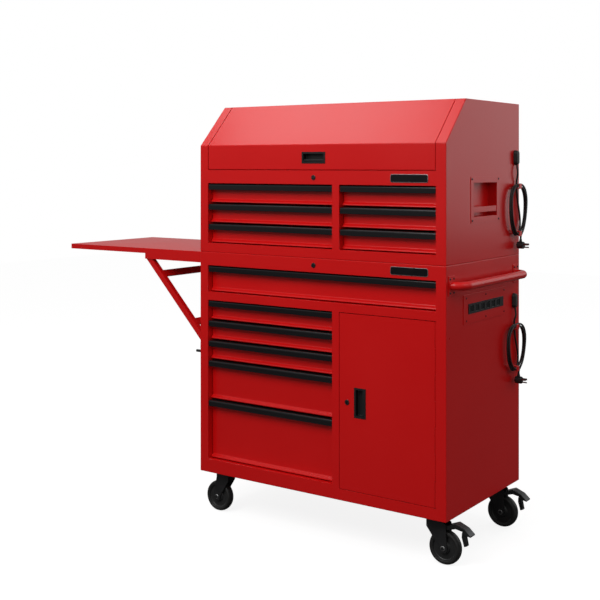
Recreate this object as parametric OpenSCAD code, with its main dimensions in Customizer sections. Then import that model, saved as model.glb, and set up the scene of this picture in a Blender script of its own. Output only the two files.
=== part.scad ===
// Rolling tool chest: a cabinet on casters, a slope-front chest on top of it, and a fold-out side shelf.
// X runs across the front (+X is the door side), -Y is the front, +Z is up.
// The origin is on the floor, at the middle of the whole object's footprint with the side shelf out.

/* [Case] */
// Width of the cabinet and the chest
body_w = 1041; // [950:1:1250]
// Depth of the cabinet and the chest
body_d = 582; // [520:1:700]
// Thickness of the sheet steel
sheet_t = 1.5; // [1:0.1:2.5]
// Width of the front posts
post_w = 37.5; // [30:0.5:50]
// Depth of the folded flange around each opening
flange_d = 70; // [60:1:90]
// Width of the divider between the drawers and the door
divider_w = 29.5; // [25:0.5:40]
// Width of the left bank of drawers
bank_w = 561; // [470:1:620]

/* [Cabinet heights] */
// Floor to the underside of the cabinet
floor_gap = 159; // [140:1:185]
// Bottom rail under the drawers
bottom_rail_h = 51; // [45:1:70]
// Deep drawer at the bottom
deep_h = 224; // [180:1:260]
// Medium drawer
medium_h = 150; // [120:1:180]
// Shallow drawers
shallow_h = 75.3; // [70:0.1:90]
// Rail between the drawers and the full-width drawer
mid_rail_h = 30.6; // [25:0.1:40]
// Full-width drawer
wide_h = 100.5; // [85:0.1:120]
// Top rail, which carries the lock and the name plate
top_rail_h = 50; // [40:1:60]
// Sill under the door
sill_h = 39.5; // [30:0.5:44]

/* [Chest heights] */
// Rail under the chest drawers
chest_rail_h = 34; // [28:1:50]
// Rail between the chest drawers and the lid
lid_rail_h = 49.6; // [42:0.1:60]
// Upright front strip of the lid
lid_strip_h = 91.5; // [80:0.5:120]
// Height of the slope
slope_h = 151; // [120:1:180]
// Depth of the slope
slope_d = 146; // [110:1:180]

/* [Drawers] */
// Distance of the drawer faces behind the front frame
face_in = 27; // [22:1:34]
// Gap around each drawer front
drawer_gap = 2; // [1.5:0.5:4]
// Height of the flared lip at the foot of each drawer face
lip_h = 10; // [8:1:14]
// Distance that the flared lip stands forward of the face
lip_out = 9; // [6:1:14]
// Height of the grip along the top of each drawer
grip_h = 22; // [18:1:26]
// Length of the drawer boxes
box_l = 500; // [440:5:540]
// Thickness of the drawer sheet
drawer_t = 1.2; // [0.8:0.1:2]
// Width of a slide channel
slide_w = 12.7; // [12:0.1:16]
// Height of a slide channel
slide_h = 35; // [30:1:40]
// Length of the slides
slide_l = 480; // [440:5:500]

/* [Door and locks] */
// Height of the door's pull above the underside of the cabinet
door_handle_up = 345.5; // [300:0.5:380]
// Thickness of the door
door_t = 18; // [14:1:24]
// Diameter of a lock
lock_d = 19; // [16:0.5:24]
// Distance that a lock stands in front of its panel
lock_out = 3; // [2:0.5:5]

/* [Side shelf] */
// Length of the shelf
shelf_l = 747; // [700:1:780]
// Width of the shelf, front to back
shelf_w = 500; // [400:5:520]
// Thickness of the shelf's folded edge
shelf_t = 20; // [16:1:24]
// Height of the shelf's top above the floor
shelf_top = 986; // [960:1:1000]
// Gap between the shelf and the side of the cabinet
shelf_gap = 3; // [2:0.5:6]
// Hinge axis to the side of the cabinet
hinge_out = 25; // [24:1:32]
// Hinge axis to the brace pivot, along the shelf
brace_reach = 285; // [260:1:300]
// Length of the brace legs, from pin to pin
brace_l = 414; // [380:1:425]
// Size of the square tube of the brace
leg_s = 22; // [18:1:24]

/* [Casters] */
// Diameter of the wheels
wheel_d = 114; // [100:1:120]
// Width of the wheels
wheel_w = 32; // [26:1:36]
// Wheel centres to the front and back faces
caster_in = 65; // [60:1:90]
// Swivel axis to the side of the cabinet
kingpin_in = 70; // [60:1:90]
// Swivel axis to the axle of the right casters
trail = 35; // [28:1:40]
// Middle of the plate to the axle of the left casters
fixed_trail = 25; // [15:1:30]
// Reach of a brake pedal's tip, from the swivel axis
pedal_reach = 133; // [120:1:140]

/* [Right side] */
// Height of the push handle above the underside of the cabinet
push_up = 765; // [740:1:780]
// Height of the power plate's centre above the underside of the cabinet
power_up = 675.5; // [640:0.5:680]
// Height of the chest's cord grommet above the underside of the chest
chest_grommet_up = 355; // [340:1:380]
// Height of the cabinet's cord grommet above the underside of the cabinet
cab_grommet_up = 667; // [640:1:680]
// Height of the middle of the chest's cord hank above the underside of the chest
chest_hank_up = 165; // [150:1:170]
// Height of the middle of the cabinet's cord hank above the underside of the cabinet
cab_hank_up = 500; // [440:1:510]
// Height of the carry handles' cups above the underside of the chest
carry_up = 150; // [120:1:170]

/* [Push handle] */
// Diameter of the handle tube
push_d = 28; // [22:1:32]
// Centre of the tube to the side
push_out = 45; // [36:1:55]
// Distance between the ends of the handle
push_l = 510; // [400:5:515]

/* [Running clearances] */
// Radial clearance of a pin or an axle in its hole
pin_gap = 0.06; // [0.02:0.01:0.1]
// Gap left between pieces that are fixed to each other in one group
seat_gap = 0.1; // [0.05:0.05:0.3]

/* [Hidden] */
$fn = 48;

// Heights above the floor
cab_z = floor_gap;
z_deep = cab_z + bottom_rail_h;
z_medium = z_deep + deep_h;
z_low = z_medium + medium_h;
z_mid = z_low + 3 * shallow_h;
z_wide = z_mid + mid_rail_h;
z_top_rail = z_wide + wide_h;
chest_z = z_top_rail + top_rail_h;
z_chest_rows = chest_z + chest_rail_h;
z_lid_rail = z_chest_rows + 3 * shallow_h;
z_lid = z_lid_rail + lid_rail_h;
z_slope = z_lid + lid_strip_h;
z_top = z_slope + slope_h;
slope_a = atan2(slope_h, slope_d);

// Widths, from the middle of the cabinet
half_w = body_w / 2;
open_x = half_w - post_w;
bank_x = bank_w - open_x;
right_x = bank_x + divider_w;
door_gap = 2;
knuckle_d = 5;
hinge_rod_d = 2.5;
door_hinge_in = 3.2;
door_hinge_x = open_x - door_hinge_in;
door_hinge_y = knuckle_d / 2;
door_x0 = right_x + door_gap;
door_x1 = door_hinge_x - 1;
door_z0 = cab_z + sill_h + door_gap;
door_z1 = z_mid - door_gap;
door_h = door_z1 - door_z0;

// Footprint, which places the origin
origin_x = (pedal_reach - kingpin_in - shelf_l - shelf_gap) / 2;
origin_y = body_d / 2;

// Drawers: name, left side, right side, bottom and top of the slot
function rows(z0, n) = [for (i = [0:n - 1]) z0 + i * shallow_h];
chest_rows = rows(z_chest_rows, 3);
cab_rows = rows(z_low, 3);
DRAWERS = concat(
    [for (i = [2:-1:0])
        [str("chest_left_", 3 - i), -open_x, bank_x, chest_rows[i], chest_rows[i] + shallow_h]],
    [for (i = [2:-1:0])
        [str("chest_right_", 3 - i), right_x, open_x, chest_rows[i], chest_rows[i] + shallow_h]],
    [["wide", -open_x, open_x, z_wide, z_top_rail]],
    [for (i = [2:-1:0]) [str("cabinet_", 3 - i), -open_x, bank_x, cab_rows[i], cab_rows[i] + shallow_h]],
    [["medium", -open_x, bank_x, z_medium, z_low], ["deep", -open_x, bank_x, z_deep, z_medium]]
);

// Casters: name, swivel axis X, axle X, axle Y
swivel_x = half_w - kingpin_in;
WHEELS = [
    ["front_right", swivel_x, swivel_x + trail, caster_in],
    ["rear_right", swivel_x, swivel_x + trail, body_d - caster_in],
    ["front_left", -swivel_x, -swivel_x - fixed_trail, caster_in],
    ["rear_left", -swivel_x, -swivel_x - fixed_trail, body_d - caster_in]
];

// ---- Shared shapes ----

// Puts the cabinet's own frame (middle of the width, front face, floor) in its place
module placed() {
    translate([-origin_x, -origin_y, 0]) children();
}

// A block between two corners
module block(x0, x1, y0, y1, z0, z1) {
    translate([x0, y0, z0]) cube([x1 - x0, y1 - y0, z1 - z0]);
}

// An outline of Y and Z, drawn out from x0 to x1
module along_x(x0, x1) {
    translate([x0, 0, 0]) rotate([90, 0, 90]) linear_extrude(x1 - x0) children();
}

// An outline of X and Z, drawn out from y0 to y1
module along_y(y0, y1) {
    translate([0, y1, 0]) rotate([90, 0, 0]) linear_extrude(y1 - y0) children();
}

// A round bar along X, Y or Z from a point
module bar_x(x0, x1, y, z, d) {
    translate([x0, y, z]) rotate([0, 90, 0]) cylinder(d = d, h = x1 - x0);
}
module bar_y(x, y0, y1, z, d) {
    translate([x, y1, z]) rotate([90, 0, 0]) cylinder(d = d, h = y1 - y0);
}
module bar_z(x, y, z0, z1, d) {
    translate([x, y, z0]) cylinder(d = d, h = z1 - z0);
}

// A screw head that stands on the right side, or on the left side if s is -1
module side_screw(s, out, y, z, d = 7, h = 2) {
    x = s * (half_w + out + seat_gap);
    bar_x(min(x, x + s * h), max(x, x + s * h), y, z, d);
}

// The chest's side outline, drawn in by t on every edge
function chest_outline(t) = [
    [t, chest_z + t],
    [t, z_slope + t * tan(slope_a) - t / cos(slope_a)],
    [(z_top - t - z_slope + t / cos(slope_a)) / tan(slope_a), z_top - t],
    [body_d - t, z_top - t],
    [body_d - t, chest_z + t]
];

// Long hinge, drawn up from the origin: even knuckles and the rod stay, odd knuckles turn on the rod
knuckle_gap = 0.3;
module knuckles(l, n, first) {
    for (i = [first:2:n - 1]) translate([0, 0, i * l / n + knuckle_gap]) {
        cylinder(d = knuckle_d, h = l / n - 2 * knuckle_gap);
    }
}
module knuckle_room(l, n, first) {
    for (i = [first:2:n - 1]) translate([0, 0, i * l / n - knuckle_gap]) {
        cylinder(d = knuckle_d + 1, h = l / n + 2 * knuckle_gap);
    }
}
module hinge_rod(l) {
    cylinder(d = hinge_rod_d, h = l);
}
module rod_hole(l) {
    translate([0, 0, -1]) cylinder(d = hinge_rod_d + 2 * pin_gap, h = l + 2);
}
door_knuckles = 7;
lid_knuckles = 11;

// ---- Fixed body ----

// Front rail: a channel with its back open
rail_d = 25;
module front_rail(x0, x1, z0, z1) {
    difference() {
        block(x0 + seat_gap, x1 - seat_gap, 0, rail_d, z0, z1);
        block(x0, x1, sheet_t, rail_d + 1, z0 + sheet_t, z1 - sheet_t);
    }
}

// Hole for a lock's barrel through a panel's front sheet
module lock_hole(x, z) {
    bar_y(x, -1, rail_d - sheet_t, z, lock_d - 3 + 2 * pin_gap);
}

// The cases are built up from sheets, which meet with a seam of seat_gap
skin_g = sheet_t + seat_gap;

// Flanges behind the front frame and at the back, which carry the drawer slides
module flange_strips(z0, z1) {
    for (x = [-open_x - sheet_t, open_x]) {
        block(x, x + sheet_t, skin_g, flange_d, z0, z1);
        block(x, x + sheet_t, body_d - flange_d, body_d - skin_g, z0, z1);
    }
}

// Divider between the drawers and the door: a front strip and two full-depth sheets
module divider(z0, z1) {
    block(bank_x, bank_x + sheet_t, 0, body_d - skin_g, z0, z1);
    block(right_x - sheet_t, right_x, 0, body_d - skin_g, z0, z1);
    block(bank_x + skin_g, right_x - skin_g, 0, sheet_t, z0, z1);
}

power_z = cab_z + power_up;
compartment_shelf_z = (door_z0 + door_z1) / 2;
module cabinet_shell() {
    color("firebrick") placed() {
        in_x = half_w - skin_g;
        low = cab_z + skin_g;
        high = chest_z - skin_g;
        // Left and right sides
        block(-half_w, -half_w + sheet_t, 0, body_d, cab_z, chest_z);
        difference() {
            block(half_w - sheet_t, half_w, 0, body_d, cab_z, chest_z);
            block(half_w - sheet_t - 1, half_w + 1, strip_y0 - 5, strip_y1 + 5, power_z - 22, power_z + 22);
            bar_x(half_w - 3, half_w + 1, cab_cord_y, cab_grommet_z, grommet_neck + 2 * seat_gap);
        }
        // Bottom, top and back
        block(-in_x, in_x, 0, body_d - skin_g, cab_z, cab_z + sheet_t);
        block(-in_x, in_x, 0, body_d - skin_g, chest_z - sheet_t, chest_z);
        block(-in_x, in_x, body_d - sheet_t, body_d, cab_z, chest_z);
        // Front posts, flanges and divider
        block(-in_x, -open_x, 0, sheet_t, low, high);
        block(open_x, in_x, 0, sheet_t, low, high);
        flange_strips(low, high);
        divider(low, z_mid - seat_gap);
        block(bank_x, right_x, rail_d + seat_gap, body_d - skin_g, z_mid, z_mid + sheet_t);
        // Front rails
        difference() {
            front_rail(-open_x, open_x, z_top_rail, high);
            lock_hole(0, cabinet_lock_z);
        }
        front_rail(-open_x, open_x, z_mid, z_wide);
        front_rail(-open_x, bank_x, low, z_deep);
        front_rail(right_x, open_x, low, cab_z + sill_h);
        // Fixed leaves, knuckles and rod of the door's hinge
        at_door_hinge() {
            knuckles(door_h, door_knuckles, 0);
            hinge_rod(door_h);
            leaf_h = door_h / door_knuckles;
            for (i = [0:2:door_knuckles - 1]) translate([0, -sheet_t / 2, i * leaf_h + knuckle_gap]) {
                cube([door_hinge_in - seat_gap, sheet_t, leaf_h - 2 * knuckle_gap]);
            }
        }
        // Shelf of the door compartment
        block(right_x + seat_gap, open_x - seat_gap, flange_d / 2, body_d - skin_g,
              compartment_shelf_z, compartment_shelf_z + sheet_t);
        for (s = [-1, 1]) back_strap(s * (half_w - strap_w / 2 - 2));
    }
}

module at_door_hinge() {
    translate([door_hinge_x, door_hinge_y, door_z0]) children();
}

// Straps across the seam at the back, which hold the chest on the cabinet
strap_w = 36;
strap_h = 110;
strap_t = 3;
strap_screw_d = 8;
module back_strap(x) {
    block(x - strap_w / 2, x + strap_w / 2, body_d + seat_gap, body_d + strap_t,
          chest_z - strap_h / 2, chest_z + strap_h / 2);
    for (s = [-1, 1]) {
        bar_y(x, body_d + strap_t, body_d + strap_t + 2, chest_z + s * (strap_h / 2 - 15), strap_screw_d);
    }
}

cabinet_lock_z = z_top_rail + top_rail_h / 2;
chest_lock_z = z_lid_rail + lid_rail_h * 0.48;
lid_back = body_d - 27;
rim_d = 20;
module chest_shell() {
    color("firebrick") placed() {
        in_x = half_w - skin_g;
        low = chest_z + skin_g;
        // Left and right sides
        difference() {
            for (x = [-half_w, half_w - sheet_t]) {
                along_x(x, x + sheet_t) polygon(chest_outline(0));
            }
            for (s = [-1, 1]) carry_opening(s, seat_gap);
            bar_x(half_w - 3, half_w + 1, chest_cord_y, chest_grommet_z, grommet_neck + 2 * seat_gap);
        }
        // Bottom, back and the till's floor
        along_x(-in_x, in_x) polygon(chest_band(4, 0, sheet_t));
        along_x(-in_x, in_x) polygon(chest_band(3, 0, sheet_t));
        block(-in_x, in_x, rail_d + seat_gap, body_d - skin_g, z_till, z_till + sheet_t);
        // Frame beside the lid: front, slope and top sheets, and the rim that the lid closes between
        for (x = [-in_x, open_x], k = [0:2]) {
            along_x(x, x + in_x - open_x) polygon(chest_band(k, 0, sheet_t));
        }
        for (x = [-open_x - sheet_t, open_x]) {
            along_x(x, x + sheet_t) intersection() {
                polygon(chest_band(0, skin_g, rim_d));
                translate([0, z_till + skin_g]) square([rim_d, z_slope - z_till]);
            }
            for (k = [1:2]) along_x(x, x + sheet_t) polygon(chest_band(k, skin_g, rim_d));
        }
        // Flanges, divider and front rails
        flange_strips(low, z_till - seat_gap);
        divider(z_chest_rows + seat_gap, z_lid_rail - seat_gap);
        front_rail(-open_x, open_x, low, z_chest_rows);
        difference() {
            front_rail(-open_x, open_x, z_lid_rail, z_lid - 2);
            lock_hole(0, chest_lock_z);
        }
        // Rear top strip with the fixed knuckles and the rod of the lid's hinge
        difference() {
            union() {
                block(-open_x + seat_gap, open_x - seat_gap, lid_back, body_d - skin_g,
                      z_top - sheet_t, z_top);
                at_lid_hinge() knuckles(2 * lid_x, lid_knuckles, 0);
            }
            at_lid_hinge() knuckle_room(2 * lid_x, lid_knuckles, 1);
        }
        at_lid_hinge() hinge_rod(2 * lid_x);
        // Studs for the struts
        for (s = [-1, 1]) {
            xs = s * (strut_x - 7);
            bar_x(min(xs, s * in_x), max(xs, s * in_x), strut_foot[0], strut_foot[1], stud_d);
        }
    }
}

z_till = z_lid_rail + 12;
// One straight run of the chest's outline, as a sheet between the depths a and b, with mitred ends
function chest_band(k, a, b) =
    let (p = chest_outline(a), q = chest_outline(b), n = (k + 1) % 5,
         u = (p[n] - p[k]) / norm(p[n] - p[k]) * seat_gap)
    [p[k] + u, p[n] - u, q[n] - u, q[k] + u];

// Cabinet half of each drawer slide: a channel that opens towards the drawer
slide_in = face_in + 18;
slide_gap = 0.4;
slide_deep = slide_w * 0.75;
module slide_channel(x, s, z) {
    translate([x, slide_in, z]) {
        difference() {
            block(min(0, s * slide_deep), max(0, s * slide_deep), 0, slide_l, -slide_h / 2, slide_h / 2);
            block(min(s * drawer_t, s * slide_w), max(s * drawer_t, s * slide_w), -1, slide_l + 1,
                  -slide_h / 2 + drawer_t, slide_h / 2 - drawer_t);
        }
    }
}
// Slides sit a little below the middle of each slot
function slide_z(d) = (d[3] + d[4]) / 2 - 4;
module drawer_rails() {
    color("silver") placed() {
        for (d = DRAWERS) {
            slide_channel(d[1], 1, slide_z(d));
            slide_channel(d[2], -1, slide_z(d));
        }
    }
}

// Push handle: a tube bent out from two flanges on the right side
push_y0 = (body_d - push_l) / 2;
push_z = cab_z + push_up;
flange_w = 44;
flange_h = 66;
flange_t = 3;
push_bend = push_out - flange_t;
module push_handle() {
    color("firebrick") placed() {
        for (y = [push_y0, push_y0 + push_l]) {
            block(half_w, half_w + flange_t, y - flange_w / 2, y + flange_w / 2,
                  push_z - flange_h / 2, push_z + flange_h / 2);
            for (sy = [-1, 1], sz = [-1, 1]) {
                side_screw(1, flange_t, y + sy * (flange_w / 2 - 9), push_z + sz * (flange_h / 2 - 10));
            }
        }
        bar_y(half_w + push_out, push_y0 + push_bend, push_y0 + push_l - push_bend, push_z, push_d);
        for (s = [0, 1]) {
            translate([half_w + flange_t, push_y0 + push_bend + s * (push_l - 2 * push_bend), push_z]) {
                rotate([0, 0, 90 * s - 90]) rotate_extrude(angle = 90) {
                    translate([push_bend, 0]) circle(d = push_d);
                }
            }
        }
    }
}

// Carry handles: a cup let into each side of the chest, with a bar across its mouth
carry_y0 = 199;
carry_y1 = 387;
carry_h = 119;
carry_z0 = chest_z + carry_up;
carry_z1 = carry_z0 + carry_h;
carry_depth = 34;
carry_edge = 20;
carry_bar_h = 19;
carry_bar_z = carry_z0 + 26;
module carry_opening(s, gap) {
    block(min(s * (half_w - 4), s * (half_w + 1)), max(s * (half_w - 4), s * (half_w + 1)),
          carry_y0 - gap, carry_y1 + gap, carry_z0 - gap, carry_z1 + gap);
}
module carry_handle() {
    difference() {
        union() {
            block(half_w, half_w + sheet_t, carry_y0 - carry_edge, carry_y1 + carry_edge,
                  carry_z0 - carry_edge, carry_z1 + carry_edge);
            block(half_w - carry_depth, half_w, carry_y0, carry_y1, carry_z0, carry_z1);
        }
        block(half_w - carry_depth + sheet_t, half_w + 2, carry_y0 + sheet_t, carry_y1 - sheet_t,
              carry_z0 + sheet_t, carry_z1 - sheet_t);
    }
    block(half_w - 12, half_w, carry_y0 + 1, carry_y1 - 1,
          carry_bar_z - carry_bar_h / 2, carry_bar_z + carry_bar_h / 2);
    screw_in = carry_edge - 9;
    for (y = [carry_y0 - screw_in, carry_y1 + screw_in], z = [carry_z0 - screw_in, carry_z1 + screw_in]) {
        side_screw(1, sheet_t, y, z);
    }
}
module carry_handles() {
    color("indianred") placed() {
        carry_handle();
        mirror([1, 0, 0]) carry_handle();
    }
}

// Power plate, screwed over the cut-out in the right side
strip_y0 = 157;
strip_y1 = 435;
strip_h = 34;
plate_y0 = 122;
plate_y1 = 460;
plate_h = 99;
plate_side_t = 2;
module power_panel() {
    color("indianred") placed() {
        difference() {
            block(half_w, half_w + plate_side_t, plate_y0, plate_y1,
                  power_z - plate_h / 2, power_z + plate_h / 2);
            block(half_w - 1, half_w + 3, strip_y0 - seat_gap, strip_y1 + seat_gap,
                  power_z - strip_h / 2 - seat_gap, power_z + strip_h / 2 + seat_gap);
        }
        for (i = [0:2], s = [-1, 1]) {
            side_screw(1, plate_side_t, plate_y0 + 21 + i * (plate_y1 - plate_y0 - 38) / 2,
                       power_z + s * (plate_h / 2 - 11.5), 6, 1.5);
        }
    }
}

// Socket strips: one in the power plate, one on the back of the till
sockets = 6;
socket_w = 26;
socket_h = 22;
socket_step = 42;
// Half width, depth and height of the till's strip, and the distance of its foot above the lid's edge
till_strip = [150, 38, 34];
till_strip_up = 48;
module socket_seats() {
    for (i = [0:sockets - 1]) {
        translate([(i - (sockets - 1) / 2) * socket_step, 0]) square([socket_w, socket_h], center = true);
    }
}
module power_strips() {
    color("#1c1c1c") placed() {
        difference() {
            block(half_w - 34, half_w + 4, strip_y0, strip_y1, power_z - strip_h / 2, power_z + strip_h / 2);
            translate([0, (strip_y0 + strip_y1) / 2 - 9, power_z]) {
                along_x(half_w + 2, half_w + 5) socket_seats();
            }
        }
        till_y = body_d - sheet_t;
        translate([0, 0, z_lid + till_strip_up + till_strip[2] / 2]) difference() {
            block(-till_strip[0], till_strip[0], till_y - till_strip[1], till_y,
                  -till_strip[2] / 2, till_strip[2] / 2);
            along_y(till_y - till_strip[1] - 1, till_y - till_strip[1] + 2) socket_seats();
        }
    }
}

// Cord grommets on the right side
chest_cord_y = body_d - 39;
cab_cord_y = body_d - 54;
chest_grommet_z = chest_z + chest_grommet_up;
cab_grommet_z = cab_z + cab_grommet_up;
grommet_w = 28;
grommet_h = 56;
grommet_out = 15;
grommet_taper = 8;
grommet_neck = 18;
module grommet(y, z) {
    translate([half_w, y, z]) rotate([0, 90, 0]) {
        hull() {
            for (dz = [-1, 1]) translate([dz * (grommet_h - grommet_w) / 2, 0, 0]) {
                cylinder(d1 = grommet_w, d2 = grommet_w - grommet_taper, h = grommet_out, $fn = 32);
            }
        }
        translate([0, 0, -14]) cylinder(d = grommet_neck, h = 15);
    }
}
module cord_grommets() {
    color("#1c1c1c") placed() {
        grommet(chest_cord_y, chest_grommet_z);
        grommet(cab_cord_y, cab_grommet_z);
    }
}

// Cord hooks: a bent strip with its foot on the side. The hank hangs between its arm and its lip.
hook_w = 20;
hook_t = 3;
hook_out = 30;
hook_lip = 15;
hook_rise = 3;
hook_foot = 16;
hook_rest = 0.3;
// z is the height of the hank's edge that the arm meets, and s is 1 for an upper hook and -1 for a lower one
module hook(y, z, s) {
    along_y(y - hook_w / 2, y + hook_w / 2) translate([half_w, z]) scale([1, s]) polygon([
        [0, -hook_t - hook_foot], [hook_t, -hook_t - hook_foot], [hook_t, -hook_t - hook_rise],
        [hook_out, -hook_t], [hook_out, hook_lip], [hook_out - hook_t, hook_lip],
        [hook_out - hook_t, 0], [0, -hook_rise]
    ]);
}
// Height of the inner edge of hank h over a hook at y, above or below the hank's middle
function hank_edge(h, y) =
    let (r = h[2] - hank_band, dy = abs(h[0] - y) + hook_w / 2)
    h[3] - h[2] + sqrt(r * r - dy * dy) - hook_rest;
module hook_pair(h, y) {
    hook(y, h[1] + hank_edge(h, y), 1);
    hook(y, h[1] - hank_edge(h, y), -1);
}
module cord_hooks() {
    color("indianred") placed() {
        hook_pair(chest_hank, chest_hook_y);
        hook_pair(cab_hank, cab_hook_y);
    }
}

// Blank name plates on the two top rails
badge_w = 143;
badge_h = 28;
badge_t = 2.5;
badge_x = 384;
module badge(z) {
    along_y(-badge_t, 0) translate([badge_x, z]) {
        square([badge_w - badge_h / 2, badge_h], center = true);
        square([badge_w, badge_h / 2], center = true);
        for (sx = [-1, 1], sz = [-1, 1]) {
            translate([sx * (badge_w / 2 - badge_h / 4), sz * badge_h / 4]) circle(r = badge_h / 4);
        }
    }
}
module badges() {
    color("#1c1c1c") placed() {
        badge(chest_lock_z);
        badge(cabinet_lock_z);
    }
}

// ---- Cords ----

cord_d = 7;
hank_out = 17;
hank_t = 18;
hank_band = 22;
chest_hook_y = body_d - 54;
cab_hook_y = body_d - 77;
// Middle (back from the front, up from the floor), half width and half height of each hank
chest_hank = [body_d - 45, chest_z + chest_hank_up, 77, 106];
cab_hank = [body_d - 63, cab_z + cab_hank_up, 83, 97];
// A hank is one closed ring with round ends
module hank(h) {
    translate([0, h[0], h[1]]) along_x(half_w + hank_out - hank_t / 2, half_w + hank_out + hank_t / 2) {
        difference() {
            stadium(h[2], h[3]);
            stadium(h[2] - hank_band, h[3] - hank_band);
        }
    }
}
module stadium(a, b) {
    for (s = [-1, 1]) translate([0, s * (b - a)]) circle(r = a);
    square([2 * a, 2 * (b - a)], center = true);
}

// A tube swept along points: each ring of the tube stands square to the route
cord_sides = 8;
function unit(v) = v / norm(v);
function heading(p, i) = unit(p[min(i + 1, len(p) - 1)] - p[max(i - 1, 0)]);
function ring_at(p, t, r) =
    let (u = unit(cross(t, [0, 1, 0.13])), v = cross(u, t))
    [for (k = [0:cord_sides - 1]) p + r * (cos(360 * k / cord_sides) * u + sin(360 * k / cord_sides) * v)];
module tube(p, r) {
    n = len(p);
    rings = [for (i = [0:n - 1]) ring_at(p[i], heading(p, i), r)];
    points = [for (ring = rings) for (q = ring) q];
    sides = [for (i = [0:n - 2]) for (k = [0:cord_sides - 1])
        let (a = i * cord_sides, b = a + cord_sides, m = (k + 1) % cord_sides)
        [a + k, b + k, b + m, a + m]];
    ends = [[for (k = [0:cord_sides - 1]) k], [for (k = [cord_sides - 1:-1:0]) (n - 1) * cord_sides + k]];
    polyhedron(points, concat(sides, ends));
}
// Points on a smooth curve through the chosen ones
function blend(p, i, t) =
    let (a = p[max(i - 1, 0)], b = p[i], c = p[i + 1], d = p[min(i + 2, len(p) - 1)])
    0.5 * (2 * b + (c - a) * t + (2 * a - 5 * b + 4 * c - d) * t * t + (3 * b - a - 3 * c + d) * t * t * t);
function smooth(p, n) =
    concat([for (i = [0:len(p) - 2]) for (k = [0:n - 1]) blend(p, i, k / n)], [p[len(p) - 1]]);

// Chosen points from the foot of each grommet to the top of its hank.
// They are measured out from the right side, forward from the back and up from the chest or the cabinet.
chest_route = [
    [8, 39, 328.8], [9, 39, 322], [11, 39, 310], [12, 39, 296], [12, 39, 284], [12, 39, 271.3]
];
cab_route = [
    [8, 54, 640.8], [9, 54, 634], [11, 55, 624], [12, 57, 612], [12, 59, 604], [12, 60, 597.3]
];
function on_side(p, z) = [for (q = p) [half_w + q[0], body_d - q[1], z + q[2]]];
module chest_cord_tail() {
    color("#1c1c1c") placed() tube(smooth(on_side(chest_route, chest_z), 3), cord_d / 2);
}
module cabinet_cord_tail() {
    color("#1c1c1c") placed() tube(smooth(on_side(cab_route, cab_z), 3), cord_d / 2);
}
module chest_cord_hank() {
    color("#1c1c1c") placed() hank(chest_hank);
}
module cabinet_cord_hank() {
    color("#1c1c1c") placed() hank(cab_hank);
}

// Plugs: a body under the hank with its cord coming in on top and three prongs that point away from the case
plug_d = 26;
plug_l = 24;
plug_neck = 10;
blade_l = 18;
module plug(h) {
    translate([half_w + hank_out + 5, h[0] + 8, h[1] - h[3] - plug_neck - plug_d / 2]) {
        bar_x(-plug_l / 2, plug_l / 2, 0, 0, plug_d);
        bar_z(0, 0, plug_d / 2 - 3, plug_d / 2 + plug_neck, 11);
        for (y = [-6.5, 6.5]) block(plug_l / 2 - 1, plug_l / 2 + blade_l, y - 0.8, y + 0.8, 0, 7);
        bar_x(plug_l / 2 - 1, plug_l / 2 + blade_l + 2, 0, -7, 4.8);
    }
}
module plugs() {
    color("#1c1c1c") placed() {
        plug(chest_hank);
        plug(cab_hank);
    }
}

// ---- Lid ----

lid_x = open_x - door_gap;
lid_foot = z_lid + 1.5;
lid_edge = lid_back - 2;
lid_hinge_y = lid_back - 1;
lid_hinge_z = z_top - 1;
module at_lid_hinge() {
    translate([-lid_x, lid_hinge_y, lid_hinge_z]) rotate([0, 90, 0]) children();
}
// The lid's outline as a bent sheet: up the front, up the slope and back along the top
lid_sheet = [
    [0, lid_foot],
    [0, z_slope],
    [slope_d, z_top],
    [lid_edge, z_top],
    [lid_edge, z_top - sheet_t],
    [(z_top - sheet_t - z_slope + sheet_t / cos(slope_a)) / tan(slope_a), z_top - sheet_t],
    [sheet_t, z_slope + sheet_t * tan(slope_a) - sheet_t / cos(slope_a)],
    [sheet_t, lid_foot]
];
lid_side = 18;
// The lid's side flanges, folded in under the sheet
lid_flange = concat([for (i = [0:3]) lid_sheet[i]], [
    [lid_edge, z_top - lid_side],
    [slope_d + 8, z_top - lid_side],
    [lid_side, z_slope - 8],
    [lid_side, lid_foot]
]);
module lid_panel() {
    color("firebrick") placed() {
        difference() {
            union() {
                along_x(-lid_x, lid_x) polygon(lid_sheet);
                for (x = [-lid_x, lid_x - sheet_t]) along_x(x, x + sheet_t) polygon(lid_flange);
                at_lid_hinge() knuckles(2 * lid_x, lid_knuckles, 1);
            }
            lid_cup(seat_gap);
            at_lid_hinge() knuckle_room(2 * lid_x, lid_knuckles, 0);
            at_lid_hinge() rod_hole(2 * lid_x);
        }
        for (s = [-1, 1]) strut_bracket(s);
    }
}
lid_handle_w = 100;
lid_handle_h = 41;
lid_handle_deep = 20;
lid_handle_z = z_lid + 44.5;
module lid_cup(gap) {
    x = lid_handle_w / 2 - pull_rim + gap;
    z = lid_handle_h / 2 - pull_rim + gap;
    block(-x, x, -1, lid_handle_deep + 2, lid_handle_z - z, lid_handle_z + z);
}
// Recessed pull: a flat rim on the sheet and an open-fronted cup behind it
pull_rim = 5;
pull_t = 1.5;
module pull(x, z, w, h, depth) {
    a = w / 2 - pull_rim;
    b = h / 2 - pull_rim;
    difference() {
        union() {
            block(x - w / 2, x + w / 2, -pull_t, 0, z - h / 2, z + h / 2);
            block(x - a, x + a, -1, depth, z - b, z + b);
        }
        block(x - a + pull_t, x + a - pull_t, -2, depth - pull_t, z - b + pull_t, z + b - pull_t);
    }
}
module lid_handle() {
    color("#1c1c1c") placed() pull(0, lid_handle_z, lid_handle_w, lid_handle_h, lid_handle_deep);
}

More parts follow.
